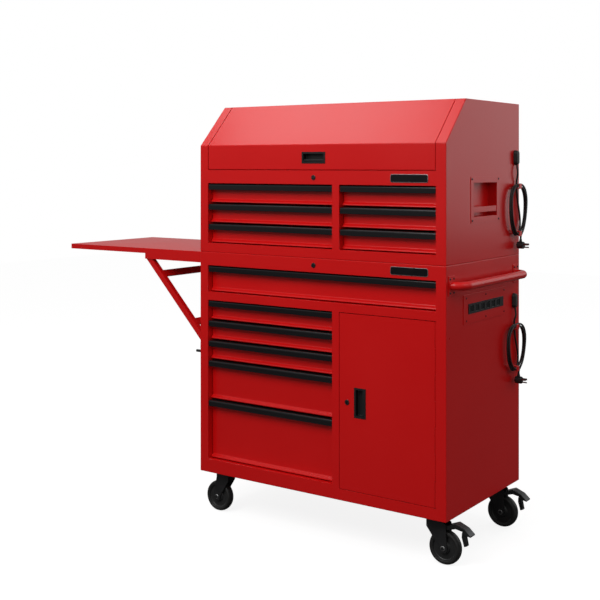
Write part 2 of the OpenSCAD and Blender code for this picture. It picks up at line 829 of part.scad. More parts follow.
// Gas struts: each tube turns on a stud on the side of the chest, and each rod slides out of it
strut_x = 468;
strut_foot = [500, z_top - 243];
strut_head = [355, z_top - 26];
strut_a = atan2(strut_foot[0] - strut_head[0], strut_head[1] - strut_foot[1]);
strut_l = norm([strut_head[0] - strut_foot[0], strut_head[1] - strut_foot[1]]);
tube_l = strut_l - 32;
tube_d = 18;
tube_bore = 30;
stud_d = 8;
rod_d = 8;
eye_d = 14;
eye_w = 12;
// Bracket on the lid that each strut's head lies beside
module strut_bracket(s) {
    x = s * (strut_x + 8);
    block(min(x, x + s * 4), max(x, x + s * 4), strut_head[0] - 12, strut_head[0] + 12,
          strut_head[1] - 7, z_top - 1);
}
module strut_frame() {
    for (s = [-1, 1]) {
        translate([s * strut_x, strut_foot[0], strut_foot[1]]) rotate([strut_a, 0, 0]) children();
    }
}
module strut_tubes() {
    color("#1c1c1c") placed() strut_frame() difference() {
        union() {
            translate([0, 0, eye_w]) cylinder(d = tube_d, h = tube_l - eye_w);
            rotate([0, 90, 0]) cylinder(d = eye_d, h = eye_w, center = true);
            cylinder(d = 10, h = eye_w + 2);
        }
        translate([0, 0, tube_bore]) cylinder(d = rod_d + 2 * pin_gap, h = tube_l);
        rotate([0, 90, 0]) cylinder(d = stud_d + 2 * pin_gap, h = eye_w + 8, center = true);
    }
}
module strut_rods() {
    color("silver") placed() strut_frame() {
        translate([0, 0, tube_bore + 4]) cylinder(d = rod_d, h = strut_l - tube_bore - 10);
        translate([0, 0, strut_l]) rotate([0, 90, 0]) cylinder(d = eye_d, h = eye_w, center = true);
    }
}

// ---- Door ----

module door_panel() {
    color("firebrick") placed() {
        difference() {
            union() {
                difference() {
                    block(door_x0, door_x1, 0, door_t, door_z0, door_z1);
                    block(door_x0 + sheet_t, door_x1 - sheet_t, sheet_t, door_t + 1,
                          door_z0 + sheet_t, door_z1 - sheet_t);
                }
                for (x = [door_x0 + 0.5, door_x1 - door_fold - 0.5]) {
                    block(x, x + door_fold, door_t - sheet_t, door_t, door_z0 + 0.5, door_z1 - 0.5);
                }
                at_door_hinge() knuckles(door_h, door_knuckles, 1);
            }
            door_cup(seat_gap);
            bar_y(door_lock_x, -1, 3, door_lock_z, lock_d - 3 + 2 * pin_gap);
            at_door_hinge() knuckle_room(door_h, door_knuckles, 0);
            at_door_hinge() rod_hole(door_h);
        }
    }
}
door_fold = 14;
door_handle_x = door_x0 + 83;
door_handle_z = cab_z + door_handle_up;
door_handle_w = 47;
door_handle_h = 103;
door_lock_x = door_x0 + 31;
door_lock_z = door_handle_z - 2.5;
module door_cup(gap) {
    x = door_handle_w / 2 - pull_rim + gap;
    z = door_handle_h / 2 - pull_rim + gap;
    block(door_handle_x - x, door_handle_x + x, -1, door_t + 2, door_handle_z - z, door_handle_z + z);
}
module door_handle() {
    color("#1c1c1c") placed() pull(door_handle_x, door_handle_z, door_handle_w, door_handle_h, door_t - 1);
}

// Locks: a round face with a key slot, a barrel through the panel and a cam behind it
module lock(x, z, depth) {
    difference() {
        union() {
            bar_y(x, -lock_out, -seat_gap, z, lock_d);
            bar_y(x, -lock_out, depth, z, lock_d - 3);
            block(x - 6, x + 6, depth - 0.5, depth + 2, z - 7, z + 20);
        }
        block(x - 1, x + 1, -lock_out - 1, -lock_out + 5, z - 4, z + 4);
    }
}
module chest_lock() {
    color("dimgray") placed() lock(0, chest_lock_z, 18);
}
module cabinet_lock() {
    color("dimgray") placed() lock(0, cabinet_lock_z, 18);
}
module door_lock() {
    color("dimgray") placed() lock(door_lock_x, door_lock_z, 14);
}

// ---- Side shelf ----

side_x = -half_w;
hinge_x = side_x - hinge_out;
hinge_z = shelf_top - 28;
shelf_y0 = 42;
shelf_x0 = side_x - shelf_gap - shelf_l;
shelf_x1 = side_x - shelf_gap;
pivot_x = hinge_x - brace_reach;
pivot_z = hinge_z - 10;
foot_z = pivot_z - sqrt(brace_l * brace_l - brace_reach * brace_reach);
brace_a = atan2(pivot_z - foot_z, brace_reach);
rail_ys = [shelf_y0 + 14, shelf_y0 + shelf_w - 14];
rail_w = leg_s + 9;
rail_wall = 2.5;
rail_foot = shelf_top - 42;
pin_d = 8;
hinge_pin_d = 10;
module side_shelf() {
    color("firebrick") placed() {
        difference() {
            union() {
                difference() {
                    block(shelf_x0, shelf_x1, shelf_y0, shelf_y0 + shelf_w, shelf_top - shelf_t, shelf_top);
                    block(shelf_x0 + sheet_t, shelf_x1 - sheet_t,
                          shelf_y0 + sheet_t, shelf_y0 + shelf_w - sheet_t,
                          shelf_top - shelf_t - 1, shelf_top - sheet_t);
                }
                for (y = rail_ys) shelf_rail(y);
            }
            for (y = rail_ys) {
                bar_y(hinge_x, y - rail_w, y + rail_w, hinge_z, hinge_pin_d + 2 * pin_gap);
            }
        }
    }
}
// Rail under the shelf: two webs joined under the panel, which take the hinge pin and the leg's pin
module shelf_rail(y) {
    difference() {
        block(pivot_x - 14, hinge_x + 12, y - rail_w / 2, y + rail_w / 2, rail_foot, shelf_top - sheet_t / 2);
        block(pivot_x - 15, hinge_x + 13, y - rail_w / 2 + rail_wall, y + rail_w / 2 - rail_wall,
              rail_foot - 1, shelf_top - sheet_t - 4);
        bar_y(pivot_x, y - rail_w, y + rail_w, pivot_z, pin_d + 2 * pin_gap);
    }
}

// Brace: two legs joined by two cross bars, on pins through the shelf's rails
cross_at = [85, 330];
tube_wall = 2;
module shelf_brace() {
    color("firebrick") placed() {
        translate([pivot_x, 0, pivot_z]) rotate([0, brace_a, 0]) {
            for (y = rail_ys) {
                difference() {
                    union() {
                        block(0, brace_l, y - leg_s / 2, y + leg_s / 2, -leg_s / 2, leg_s / 2);
                        for (x = [0, brace_l]) bar_y(x, y - leg_s / 2, y + leg_s / 2, 0, leg_s);
                    }
                    block(12, brace_l - 12, y - leg_s / 2 + tube_wall, y + leg_s / 2 - tube_wall,
                          -leg_s / 2 + tube_wall, leg_s / 2 - tube_wall);
                }
                bar_y(0, y - rail_w / 2, y + rail_w / 2, 0, pin_d);
            }
            for (x = cross_at) {
                block(x - 15, x + 15, rail_ys[0] + leg_s / 2 - 1, rail_ys[1] - leg_s / 2 + 1, -4, 4);
            }
        }
    }
}

// Brackets on the left side: two hinge brackets with pins, two foot brackets and two rest pegs
foot_plate = 3;
lug_w = 18;
lug_h = 12;
boss_d = 14;
ear_t = 3;
peg_d = 10;
peg_l = 48;
cheek_gap = 2.5;
peg_y = shelf_y0 - 6;
peg_z = foot_z - 43;
module shelf_brackets() {
    color("firebrick") placed() {
        for (y = rail_ys) {
            block(side_x - foot_plate, side_x, y - lug_w / 2, y + lug_w / 2,
                  hinge_z - 30, shelf_top - shelf_t - 2);
            block(hinge_x, side_x - 1, y - lug_w / 2, y + lug_w / 2,
                  hinge_z - lug_h / 2, hinge_z + lug_h / 2);
            bar_y(hinge_x, y - lug_w / 2, y + lug_w / 2, hinge_z, boss_d);
            bar_y(hinge_x, y - rail_w / 2 - 4, y + rail_w / 2 + 4, hinge_z, hinge_pin_d);
            block(side_x - foot_plate, side_x, y - 24, y + 24, foot_z - 44, foot_z + 12);
            for (s = [-1, 1]) {
                yc = y + s * (leg_s / 2 + cheek_gap + ear_t / 2);
                block(side_x - hinge_out - 8, side_x - 1, yc - ear_t / 2, yc + ear_t / 2,
                      foot_z - 34, foot_z - 12);
            }
        }
        for (y = [peg_y, 2 * shelf_y0 + shelf_w - peg_y]) {
            bar_x(side_x - peg_l, side_x, y, peg_z, peg_d);
        }
    }
}

// ---- Casters ----

plate_t = 4;
race_h = 9;
race_d = 50;
axle_d = 12;
axle_z = wheel_d / 2;
fork_in = wheel_w / 2 + 2.5;
fork_t = 3;
fork_back = 26;
fork_front = 30;
eye_r = 15.5;
caster_plate_x = 96;
caster_plate_y = 76;
crown_z = cab_z - plate_t - race_h;
module caster_plate(x, y) {
    block(x - caster_plate_x / 2, x + caster_plate_x / 2, y - caster_plate_y / 2, y + caster_plate_y / 2,
          cab_z - plate_t, cab_z);
}
// Fork cheeks: a crown above the wheel and a tapering leg down to the axle on each side.
// The ear is the extra reach that holds the pedal's pin.
module cheeks(x, y, ax, top, ear) {
    x0 = x - fork_back;
    x1 = x + fork_front;
    for (s = [-1, 1]) {
        yc = y + s * (fork_in + fork_t / 2);
        along_y(yc - fork_t / 2, yc + fork_t / 2) {
            polygon([[x0, top], [x1, top], [x1 + ear, top - 10], [x1 + ear, top - 33],
                     [ax + eye_r - 0.5, axle_z + 4], [ax - eye_r + 0.5, axle_z + 4], [x0, top - 24]]);
            translate([ax, axle_z]) circle(r = eye_r);
        }
    }
    block(x0, x1, y - fork_in - fork_t, y + fork_in + fork_t, top - 4, top);
    bar_y(ax, y - fork_in - fork_t - 4, y + fork_in + fork_t + 4, axle_z, axle_d);
}
module caster_mounts() {
    color("#1c1c1c") placed() {
        for (i = [0, 1]) {
            w = WHEELS[i];
            difference() {
                union() {
                    caster_plate(w[1], w[3]);
                    bar_z(w[1], w[3], crown_z, cab_z - 1, race_d);
                }
                bar_z(w[1], w[3], crown_z - 1, cab_z + 1, axle_d + 2 * pin_gap);
            }
        }
        for (i = [2, 3]) {
            w = WHEELS[i];
            caster_plate(w[1], w[3]);
            cheeks(w[1], w[3], w[2], cab_z - plate_t + 1, 0);
        }
    }
}
fork_top = crown_z - 0.5;
module swivel_fork(w) {
    color("#1c1c1c") placed() {
        cheeks(w[1], w[3], w[2], fork_top, trail + 2 + 9 - fork_front);
        bar_z(w[1], w[3], fork_top - 2, cab_z - 1, axle_d);
        bar_y(w[2] + 2, w[3] - fork_in - fork_t, w[3] + fork_in + fork_t, pedal_z, pedal_pin_d);
    }
}
// Brake pedal: a tread plate on a cross pin, with a tongue and a release tab
pedal_z = wheel_d + 8;
pedal_pin_d = 6;
pedal_w = wheel_w + 2;
module brake_pedal(w) {
    color("#1c1c1c") placed() translate([w[1], w[3], 0]) {
        difference() {
            along_y(-pedal_w / 2, pedal_w / 2) {
                polygon([
                    [trail - 6, pedal_z + 5], [trail + 8, pedal_z + 8],
                    [72, fork_top - 4], [80, fork_top - 1],
                    [113, fork_top - 14], [pedal_reach, pedal_z - 8], [pedal_reach, pedal_z - 12],
                    [108, pedal_z - 6], [104, pedal_z + 2], [80, pedal_z + 6], [trail + 8, pedal_z - 5],
                    [trail - 6, pedal_z - 5]
                ]);
            }
            bar_y(trail + 2, -pedal_w, pedal_w, pedal_z, pedal_pin_d + 2 * pin_gap);
        }
        along_y(-8, 8) {
            polygon([[98, pedal_z - 4], [108, pedal_z - 6], [116, 76], [106, 72], [97, pedal_z - 20]]);
        }
    }
}
module wheel(w) {
    color("#1c1c1c") placed() translate([w[2], w[3], axle_z]) rotate([90, 0, 0]) rotate_extrude($fn = 96) {
        polygon([
            [axle_d / 2 + pin_gap, -wheel_w / 2], [20, -wheel_w / 2], [23, -wheel_w / 2 + 5],
            [40, -wheel_w / 2 + 5], [43, -wheel_w / 2 + 1], [wheel_d / 2 - 6, -wheel_w / 2 + 1],
            [wheel_d / 2 - 2, -wheel_w / 2 + 5], [wheel_d / 2, -5], [wheel_d / 2, 5],
            [wheel_d / 2 - 2, wheel_w / 2 - 5], [wheel_d / 2 - 6, wheel_w / 2 - 1],
            [43, wheel_w / 2 - 1], [40, wheel_w / 2 - 5], [23, wheel_w / 2 - 5], [20, wheel_w / 2],
            [axle_d / 2 + pin_gap, wheel_w / 2]
        ]);
    }
}

// ---- Drawers ----

// A drawer: a folded front with a flared lip, a tray behind it and a moving channel on each side
tray_top = 18;
tray_foot = 9;
module drawer(d) {
    x0 = d[1] + drawer_gap;
    x1 = d[2] - drawer_gap;
    zf = d[3] + 3.7;
    zt = d[4] - 4;
    bx0 = d[1] + slide_w;
    bx1 = d[2] - slide_w;
    y0 = face_in + sheet_t;
    color("firebrick") placed() {
        along_x(x0, x1) polygon([
            [face_in - lip_out, zf], [face_in - lip_out, zf + sheet_t], [face_in, zf + lip_h],
            [face_in, zt], [face_in + sheet_t, zt], [face_in + sheet_t, zf + lip_h - 0.5],
            [face_in - lip_out + sheet_t, zf]
        ]);
        difference() {
            block(bx0, bx1, y0 - 0.5, y0 + box_l, zf + tray_foot, zt - tray_top);
            block(bx0 + drawer_t, bx1 - drawer_t, y0 + drawer_t, y0 + box_l - drawer_t,
                  zf + tray_foot + drawer_t, zt);
        }
        for (side = [[bx0, -1], [bx1, 1]]) drawer_slide(side[0], side[1], slide_z(d));
    }
}
module drawer_slide(x, s, z) {
    xa = x + s * seat_gap;
    xb = x + s * (slide_w - drawer_t - 2 * slide_gap);
    h = slide_h / 2 - drawer_t - slide_gap;
    translate([0, slide_in + 2, z]) difference() {
        block(min(xa, xb), max(xa, xb), 0, slide_l - 10, -h, h);
        block(min(xa + s * drawer_t, xb + s), max(xa + s * drawer_t, xb + s), -1, slide_l,
              -h + drawer_t, h - drawer_t);
    }
}

// A grip: a hooked strip along the drawer's top edge, with a finger gap behind its lip
grip_front = 3;
grip_t = 3;
function arc(c, r, a0, a1, n) =
    [for (i = [0:n]) let (a = a0 + (a1 - a0) * i / n) c + r * [cos(a), sin(a)]];
module grip(d) {
    zt = d[4] - 3;
    r = 6;
    yb = face_in - seat_gap;
    color("#1c1c1c") placed() along_x(d[1] + drawer_gap, d[2] - drawer_gap) polygon(concat(
        [[yb, zt - 14], [yb, zt]],
        arc([grip_front + r, zt - r], r, 90, 180, 6),
        [[grip_front, zt - grip_h], [grip_front + grip_t, zt - grip_h]],
        arc([grip_front + r, zt - r], r - grip_t, 180, 90, 6),
        [[yb - grip_t, zt - grip_t], [yb - grip_t, zt - 14]]
    ));
}

// ---- Nodes ----

cabinet_shell();
chest_shell();
drawer_rails();
push_handle();
carry_handles();
power_panel();
power_strips();
cord_grommets();
cord_hooks();
badges();
caster_mounts();
shelf_brackets();
chest_cord_tail();
chest_cord_hank();
cabinet_cord_tail();
cabinet_cord_hank();
plugs();
lid_panel();
lid_handle();
strut_tubes();
strut_rods();
door_panel();
door_handle();
chest_lock();
cabinet_lock();
door_lock();
side_shelf();
shelf_brace();
for (w = [WHEELS[0], WHEELS[1]]) {
    swivel_fork(w);
    brake_pedal(w);
}
for (w = WHEELS) {
    wheel(w);
}
for (d = DRAWERS) {
    drawer(d);
    grip(d);
}
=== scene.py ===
import math

import bmesh
import bpy
from mathutils import Matrix, Vector


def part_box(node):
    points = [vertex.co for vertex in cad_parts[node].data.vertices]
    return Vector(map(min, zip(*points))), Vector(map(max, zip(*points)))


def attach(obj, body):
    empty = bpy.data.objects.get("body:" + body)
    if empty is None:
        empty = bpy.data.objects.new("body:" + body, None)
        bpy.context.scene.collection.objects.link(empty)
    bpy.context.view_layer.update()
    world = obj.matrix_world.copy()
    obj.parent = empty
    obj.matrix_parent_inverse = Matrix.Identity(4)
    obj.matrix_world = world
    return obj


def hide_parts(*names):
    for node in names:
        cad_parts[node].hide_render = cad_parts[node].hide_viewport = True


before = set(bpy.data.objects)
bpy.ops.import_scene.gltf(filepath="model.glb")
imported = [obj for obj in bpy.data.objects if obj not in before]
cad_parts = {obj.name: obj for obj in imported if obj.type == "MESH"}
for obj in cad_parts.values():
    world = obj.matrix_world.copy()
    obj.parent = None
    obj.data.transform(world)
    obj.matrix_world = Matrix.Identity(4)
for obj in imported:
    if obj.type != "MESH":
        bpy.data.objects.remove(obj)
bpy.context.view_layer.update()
mm = 0.001

# Camera. It stands off the front right corner of the case, level, at about chest height.
# The lens is shifted down so that the uprights of the case stay upright.
chest_low, chest_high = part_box("chest_shell")
cab_low, cab_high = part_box("cabinet_shell")
mid_x = (chest_low.x + chest_high.x) / 2
front_y = chest_low.y
back_y = chest_high.y
half_w = (chest_high.x - chest_low.x) / 2
seam_z = chest_low.z
top_z = seam_z + 552 * mm
eye = bpy.data.cameras.new("eye")
eye.lens = 63.9
eye.sensor_width = 36
eye.shift_y = -0.2255
camera = bpy.data.objects.new("camera", eye)
camera.location = (mid_x + 2.116, front_y - 3.0939, 1.3202)
camera.rotation_euler = (math.radians(90), 0, math.radians(35.09))
bpy.context.scene.collection.objects.link(camera)
bpy.context.scene.camera = camera

# Power cords. Each is a 7 mm rubber flex that leaves its grommet, drops behind the hank and is
# wound on two hooks for nearly three turns. Its end hangs from the last turn and carries the plug.
cord_d = 7 * mm


def case_point(across, back, up):
    """A point from the middle of the case's front, in millimetres across, back and above the floor."""
    return Vector((mid_x + across * mm, front_y + back * mm, up * mm))


def side_point(out, back, up):
    """A point beside the right side, in millimetres out from it, back from the front and above the floor."""
    return case_point(half_w / mm + out, back, up)


def surface(name, base, rough, metallic=0.0, coat=0.0, specular=0.5):
    """A new material with one Principled shader, and its node tree."""
    made = bpy.data.materials.new(name)
    made.use_nodes = True
    shader = made.node_tree.nodes["Principled BSDF"]
    shader.inputs["Base Color"].default_value = (*base, 1)
    shader.inputs["Roughness"].default_value = rough
    shader.inputs["Metallic"].default_value = metallic
    shader.inputs["Coat Weight"].default_value = coat
    shader.inputs["Coat Roughness"].default_value = 0.2
    shader.inputs["Specular IOR Level"].default_value = specular
    return made, made.node_tree, shader


# The grain that paint, plastic and rubber share: broad patches of tone and a fine skin
grain = bpy.data.node_groups.new("skin_grain", "ShaderNodeTree")
for label, kind, way in (
    ("Vector", "NodeSocketVector", "INPUT"),
    ("Patch Scale", "NodeSocketFloat", "INPUT"),
    ("Skin Scale", "NodeSocketFloat", "INPUT"),
    ("Patches", "NodeSocketFloat", "OUTPUT"),
    ("Skin", "NodeSocketFloat", "OUTPUT"),
):
    grain.interface.new_socket(label, in_out=way, socket_type=kind)
grain_in = grain.nodes.new("NodeGroupInput")
grain_out = grain.nodes.new("NodeGroupOutput")
for scale, out, detail in (("Patch Scale", "Patches", 3), ("Skin Scale", "Skin", 1)):
    noise = grain.nodes.new("ShaderNodeTexNoise")
    noise.inputs["Detail"].default_value = detail
    grain.links.new(grain_in.outputs["Vector"], noise.inputs["Vector"])
    grain.links.new(grain_in.outputs[scale], noise.inputs["Scale"])
    grain.links.new(noise.outputs["Fac"], grain_out.inputs[out])


def add_grain(tree, shader, dark, light, rough, patch=4, skin=900, depth=0.04, stretch=(1, 1, 1)):
    """Tone between dark and light, roughness between the two of rough, and a fine bump."""
    place = tree.nodes.new("ShaderNodeTexCoord")
    turn = tree.nodes.new("ShaderNodeMapping")
    turn.inputs["Scale"].default_value = stretch
    tree.links.new(place.outputs["Object"], turn.inputs["Vector"])
    skin_node = tree.nodes.new("ShaderNodeGroup")
    skin_node.node_tree = grain
    skin_node.inputs["Patch Scale"].default_value = patch
    skin_node.inputs["Skin Scale"].default_value = skin
    tree.links.new(turn.outputs["Vector"], skin_node.inputs["Vector"])
    tone = tree.nodes.new("ShaderNodeMix")
    tone.data_type = "RGBA"
    tone.inputs["A"].default_value = (*dark, 1)
    tone.inputs["B"].default_value = (*light, 1)
    tree.links.new(skin_node.outputs["Patches"], tone.inputs["Factor"])
    tree.links.new(tone.outputs["Result"], shader.inputs["Base Color"])
    gloss = tree.nodes.new("ShaderNodeMapRange")
    gloss.interpolation_type = "SMOOTHSTEP"
    gloss.inputs["From Min"].default_value = 0.2
    gloss.inputs["From Max"].default_value = 0.8
    gloss.inputs["To Min"].default_value = rough[0]
    gloss.inputs["To Max"].default_value = rough[1]
    tree.links.new(skin_node.outputs["Patches"], gloss.inputs["Value"])
    tree.links.new(gloss.outputs["Result"], shader.inputs["Roughness"])
    bump = tree.nodes.new("ShaderNodeBump")
    bump.inputs["Strength"].default_value = depth
    bump.inputs["Distance"].default_value = 0.0006
    tree.links.new(skin_node.outputs["Skin"], bump.inputs["Height"])
    tree.links.new(bump.outputs["Normal"], shader.inputs["Normal"])


flex, tree, shader = surface("flex_rubber", (0.012, 0.012, 0.012), 0.42)
add_grain(tree, shader, (0.008, 0.008, 0.008), (0.02, 0.02, 0.02), (0.36, 0.5), 40, 1400, 0.1)


def hank_path(middle, half_size, route, low_end):
    """The points of a cord: down its route, round its hooks and down to the plug.

    middle is the hank's place back and up, and half_size its half width and half height."""
    back, up = middle
    wide, high = half_size
    turns = 2.72
    steps = 66
    # Turns that lie beside the case, and how far the turns grow outwards with each one
    inner_turns = 1.35
    spread = 7.4
    points = [side_point(*p) for p in route]
    feed_back = route[-1][1]
    # Down inside the hank, and into its lowest point
    points += [
        side_point(6, feed_back + 1, up + high - 4),
        side_point(6, feed_back + 5, up + high * 0.62),
        side_point(8, feed_back + 10, up + high * 0.2),
        side_point(10, back + 30, up - high * 0.3),
        side_point(12, back + 26, up - high + 30),
        side_point(13, back + 13, up - high + 7),
    ]
    # Round the hooks: the inner turns lie beside the case and the rest lies over them
    for i in range(1, steps + 1):
        t = turns * i / steps
        angle = 2 * math.pi * t
        across, along = -math.sin(angle), -math.cos(angle)
        lift = min(max((t - inner_turns) / 0.3, 0), 1)
        lift = lift * lift * (3 - 2 * lift)
        ring = 1.6 - spread * t if t < inner_turns else -8.4 + spread * (t - inner_turns)
        ring += 1.1 * math.sin(3 * angle + t)
        taper = 1 + 0.07 * along
        points.append(
            side_point(
                13 + 7.8 * lift + 0.7 * math.sin(2 * angle),
                back + taper * (wide + ring) * math.copysign(abs(across) ** 0.88, across),
                up + (high + ring) * math.copysign(abs(along) ** 0.88, along),
            )
        )
    # Off the last turn and down to the plug
    end_back = back + 8
    points += [
        side_point(21.5, back + wide * 0.82, up - high * 0.42),
        side_point(22, back + wide * 0.5, up - high * 0.76),
        side_point(22, end_back + 8, up - high + 3),
        side_point(22, end_back + 1, low_end + 14),
        side_point(22, end_back, low_end),
    ]
    return points


def lay_cord(name, points, replaced):
    """One cord as a smooth round curve."""
    line = bpy.data.curves.new(name, "CURVE")
    line.dimensions = "3D"
    line.bevel_depth = cord_d / 2
    line.bevel_resolution = 4
    line.resolution_u = 4
    line.use_fill_caps = True
    run = line.splines.new("NURBS")
    run.points.add(len(points) - 1)
    for spot, point in zip(run.points, points):
        spot.co = (*point, 1)
    run.order_u = 4
    run.use_endpoint_u = True
    cord = bpy.data.objects.new(name, line)
    bpy.context.scene.collection.objects.link(cord)
    line.materials.append(flex)
    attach(cord, "case")
    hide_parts(*replaced)
    return cord


# Routes out from the side, back from the front and up from the floor, as on the case
chest_route = [
    (8, 543, 1319.8), (9, 543, 1313), (11, 543, 1301), (12, 543, 1287), (10, 543, 1275), (7, 543.5, 1262.3),
]
cabinet_route = [
    (8, 528, 799.8), (9, 528, 793), (11, 527, 783), (12, 525, 771), (10, 523, 763), (7, 522, 756.3),
]
chest_plug_top = 1050
cabinet_plug_top = 562
chest_run = hank_path((537, 1156), (66, 94), chest_route, chest_plug_top)
chest_cord = lay_cord("chest_cord", chest_run, ["chest_cord_tail", "chest_cord_hank"])
cabinet_run = hank_path((519, 659), (72, 84.5), cabinet_route, cabinet_plug_top)
cabinet_cord = lay_cord("cabinet_cord", cabinet_run, ["cabinet_cord_tail", "cabinet_cord_hank"])

# Plugs. Moulded rubber bodies with a ribbed neck for the cord and two flat blades and a round
# earth pin of nickelled brass. They hang from the cords with the pins pointing away from the case.
hard_rubber, tree, shader = surface("moulded_rubber", (0.014, 0.014, 0.014), 0.5)
add_grain(tree, shader, (0.01, 0.01, 0.01), (0.022, 0.022, 0.022), (0.42, 0.56), 60, 1600, 0.15)
nickel, tree, shader = surface("dark_nickel", (0.2, 0.19, 0.18), 0.35, metallic=1)
add_grain(tree, shader, (0.12, 0.115, 0.11), (0.24, 0.23, 0.22), (0.3, 0.42), 120, 2000, 0.05)


def finish_mesh(name, shape, materials, body, sharp=35, replaces=(), clean=True):
    """Makes a piece of a bmesh: faces outwards, smooth between its sharp edges, riding on a body."""
    if clean:
        bmesh.ops.remove_doubles(shape, verts=shape.verts, dist=1e-6)
        bmesh.ops.recalc_face_normals(shape, faces=shape.faces)
    mesh = bpy.data.meshes.new(name)
    shape.to_mesh(mesh)
    shape.free()
    for material in materials:
        mesh.materials.append(material)
    mesh.polygons.foreach_set("use_smooth", [True] * len(mesh.polygons))
    mesh.set_sharp_from_angle(angle=math.radians(sharp))
    piece = bpy.data.objects.new(name, mesh)
    bpy.context.scene.collection.objects.link(piece)
    weighted = piece.modifiers.new("weighted", "WEIGHTED_NORMAL")
    weighted.keep_sharp = True
    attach(piece, body)
    if replaces:
        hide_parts(*replaces)
    return piece


def soft_edges(shape, verts, width, segments=2, least=25):
    """Bevels the sharp edges among some vertices."""
    chosen = set(verts)
    edges = [
        e for e in {e for v in verts for e in v.link_edges}
        if e.verts[0] in chosen and e.verts[1] in chosen and len(e.link_faces) == 2
        and e.calc_face_angle(0) > math.radians(least)
    ]
    bmesh.ops.bevel(
        shape, geom=edges, offset=width, offset_type="OFFSET", affect="EDGES", segments=segments,
        profile=0.5, material=-1, clamp_overlap=True,
    )


def add_block(shape, low, high, soft=0, segments=2, material=0):
    """A block between two corners, with soft edges."""
    size = high - low
    place = Matrix.Translation((low + high) / 2) @ Matrix.Diagonal((*size, 1))
    made = bmesh.ops.create_cube(shape, size=1, matrix=place)["verts"]
    faces = {f for v in made for f in v.link_faces}
    for face in faces:
        face.material_index = material
    if soft:
        soft_edges(shape, made, soft, segments)


def add_round(shape, start, end, r0, r1=None, sides=32, soft=0, material=0):
    """A round bar from start to end, with a soft rim at each end."""
    run = end - start
    turn = Vector((0, 0, 1)).rotation_difference(run).to_matrix().to_4x4()
    made = bmesh.ops.create_cone(
        shape, cap_ends=True, segments=sides, radius1=r0, radius2=r0 if r1 is None else r1,
        depth=run.length, matrix=Matrix.Translation((start + end) / 2) @ turn,
    )["verts"]
    for face in {f for v in made for f in v.link_faces}:
        face.material_index = material
    if soft:
        soft_edges(shape, made, soft, 2, 40)


plug_r = 13
for name, cord, back, top, run in (
    ("chest_plug", chest_cord, 545, chest_plug_top, chest_run),
    ("cabinet_plug", cabinet_cord, 527, cabinet_plug_top, cabinet_run),
):
    shape = bmesh.new()
    middle = top - 10 - plug_r
    for out0, out1, r, soft in ((10, 34, plug_r, 2), (33.4, 35, 11.5, 0.5)):
        start, end = side_point(out0, back, middle), side_point(out1, back, middle)
        add_round(shape, start, end, r * mm, sides=40, soft=soft * mm)
    for i in range(4):
        rise = middle + plug_r - 3 + 3 * i
        add_round(
            shape, side_point(22, back, rise), side_point(22, back, rise + 2.2),
            (6.6 - 0.6 * i) * mm, (6.2 - 0.6 * i) * mm, soft=0.5 * mm,
        )
    add_round(shape, side_point(22, back, middle + 8), side_point(22, back, top), 5 * mm, 4.2 * mm)
    for across in (-6.5, 6.5):
        blade = side_point(34, back + across - 0.8, middle), side_point(52, back + across + 0.8, middle + 7)
        add_block(shape, *blade, 0.4 * mm, material=1)
    add_round(
        shape, side_point(34, back, middle - 7), side_point(54, back, middle - 7), 2.4 * mm, sides=20,
        soft=0.9 * mm, material=1,
    )
    plug = finish_mesh(name, shape, [hard_rubber, nickel], "case", replaces=["plugs"])

# Cabinet case. Folded and welded sheet steel with a front frame, red powder coated all over.
# Its outer corners are rounded by the bend of the sheet, and the edges of its openings are eased.
red, tree, shader = surface("red_powder_coat", (0.7, 0.005, 0.005), 0.3, coat=0.08, specular=0.36)
add_grain(tree, shader, (0.66, 0.0035, 0.0042), (0.72, 0.0055, 0.0055), (0.27, 0.33), 3, 650, 0.06)
steel_t = 1.5
fold_r = 2.4


def islands(shape):
    """The separate solids of a shape, each as a list of its vertices."""
    left, found = set(shape.verts), []
    while left:
        todo = [left.pop()]
        solid = []
        while todo:
            vert = todo.pop()
            solid.append(vert)
            for edge in vert.link_edges:
                other = edge.other_vert(vert)
                if other in left:
                    left.remove(other)
                    todo.append(other)
        found.append(solid)
    return found


def reach(verts):
    """The lowest and highest corner of some vertices."""
    return (
        Vector([min(v.co[k] for v in verts) for k in range(3)]),
        Vector([max(v.co[k] for v in verts) for k in range(3)]),
    )


def whole_faces(shape):
    """Joins the triangles of a steel part's flat faces into whole faces."""
    bmesh.ops.remove_doubles(shape, verts=shape.verts, dist=2e-6)
    bmesh.ops.dissolve_limit(
        shape, angle_limit=math.radians(0.8), verts=shape.verts, edges=shape.edges, delimit={"NORMAL"},
    )


def node_shape(node, wanted=None):
    """A clean copy of a part's own shape, or of those of its solids that wanted(low, high) picks."""
    shape = bmesh.new()
    shape.from_mesh(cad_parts[node].data)
    whole_faces(shape)
    if wanted:
        spare = [v for solid in islands(shape) if not wanted(*reach(solid)) for v in solid]
        bmesh.ops.delete(shape, geom=spare, context="VERTS")
    return shape


def join_in(shape, other, material=0):
    """Moves another shape's faces into this one."""
    for face in other.faces:
        face.material_index = material
    mesh = bpy.data.meshes.new("joined")
    other.to_mesh(mesh)
    other.free()
    shape.from_mesh(mesh)
    bpy.data.meshes.remove(mesh)


def prism(outline, x0, x1, soft=0.0, segments=3):
    """A solid drawn across from x0 to x1, in millimetres, from an outline of back and up."""
    shape = bmesh.new()
    face = shape.faces.new([shape.verts.new(case_point(x0, y, z)) for y, z in outline])
    moved = bmesh.ops.extrude_face_region(shape, geom=[face])["geom"]
    far = [g for g in moved if isinstance(g, bmesh.types.BMVert)]
    bmesh.ops.translate(shape, vec=((x1 - x0) * mm, 0, 0), verts=far)
    bmesh.ops.recalc_face_normals(shape, faces=shape.faces)
    if soft:
        soft_edges(shape, list(shape.verts), soft * mm, segments)
    return shape


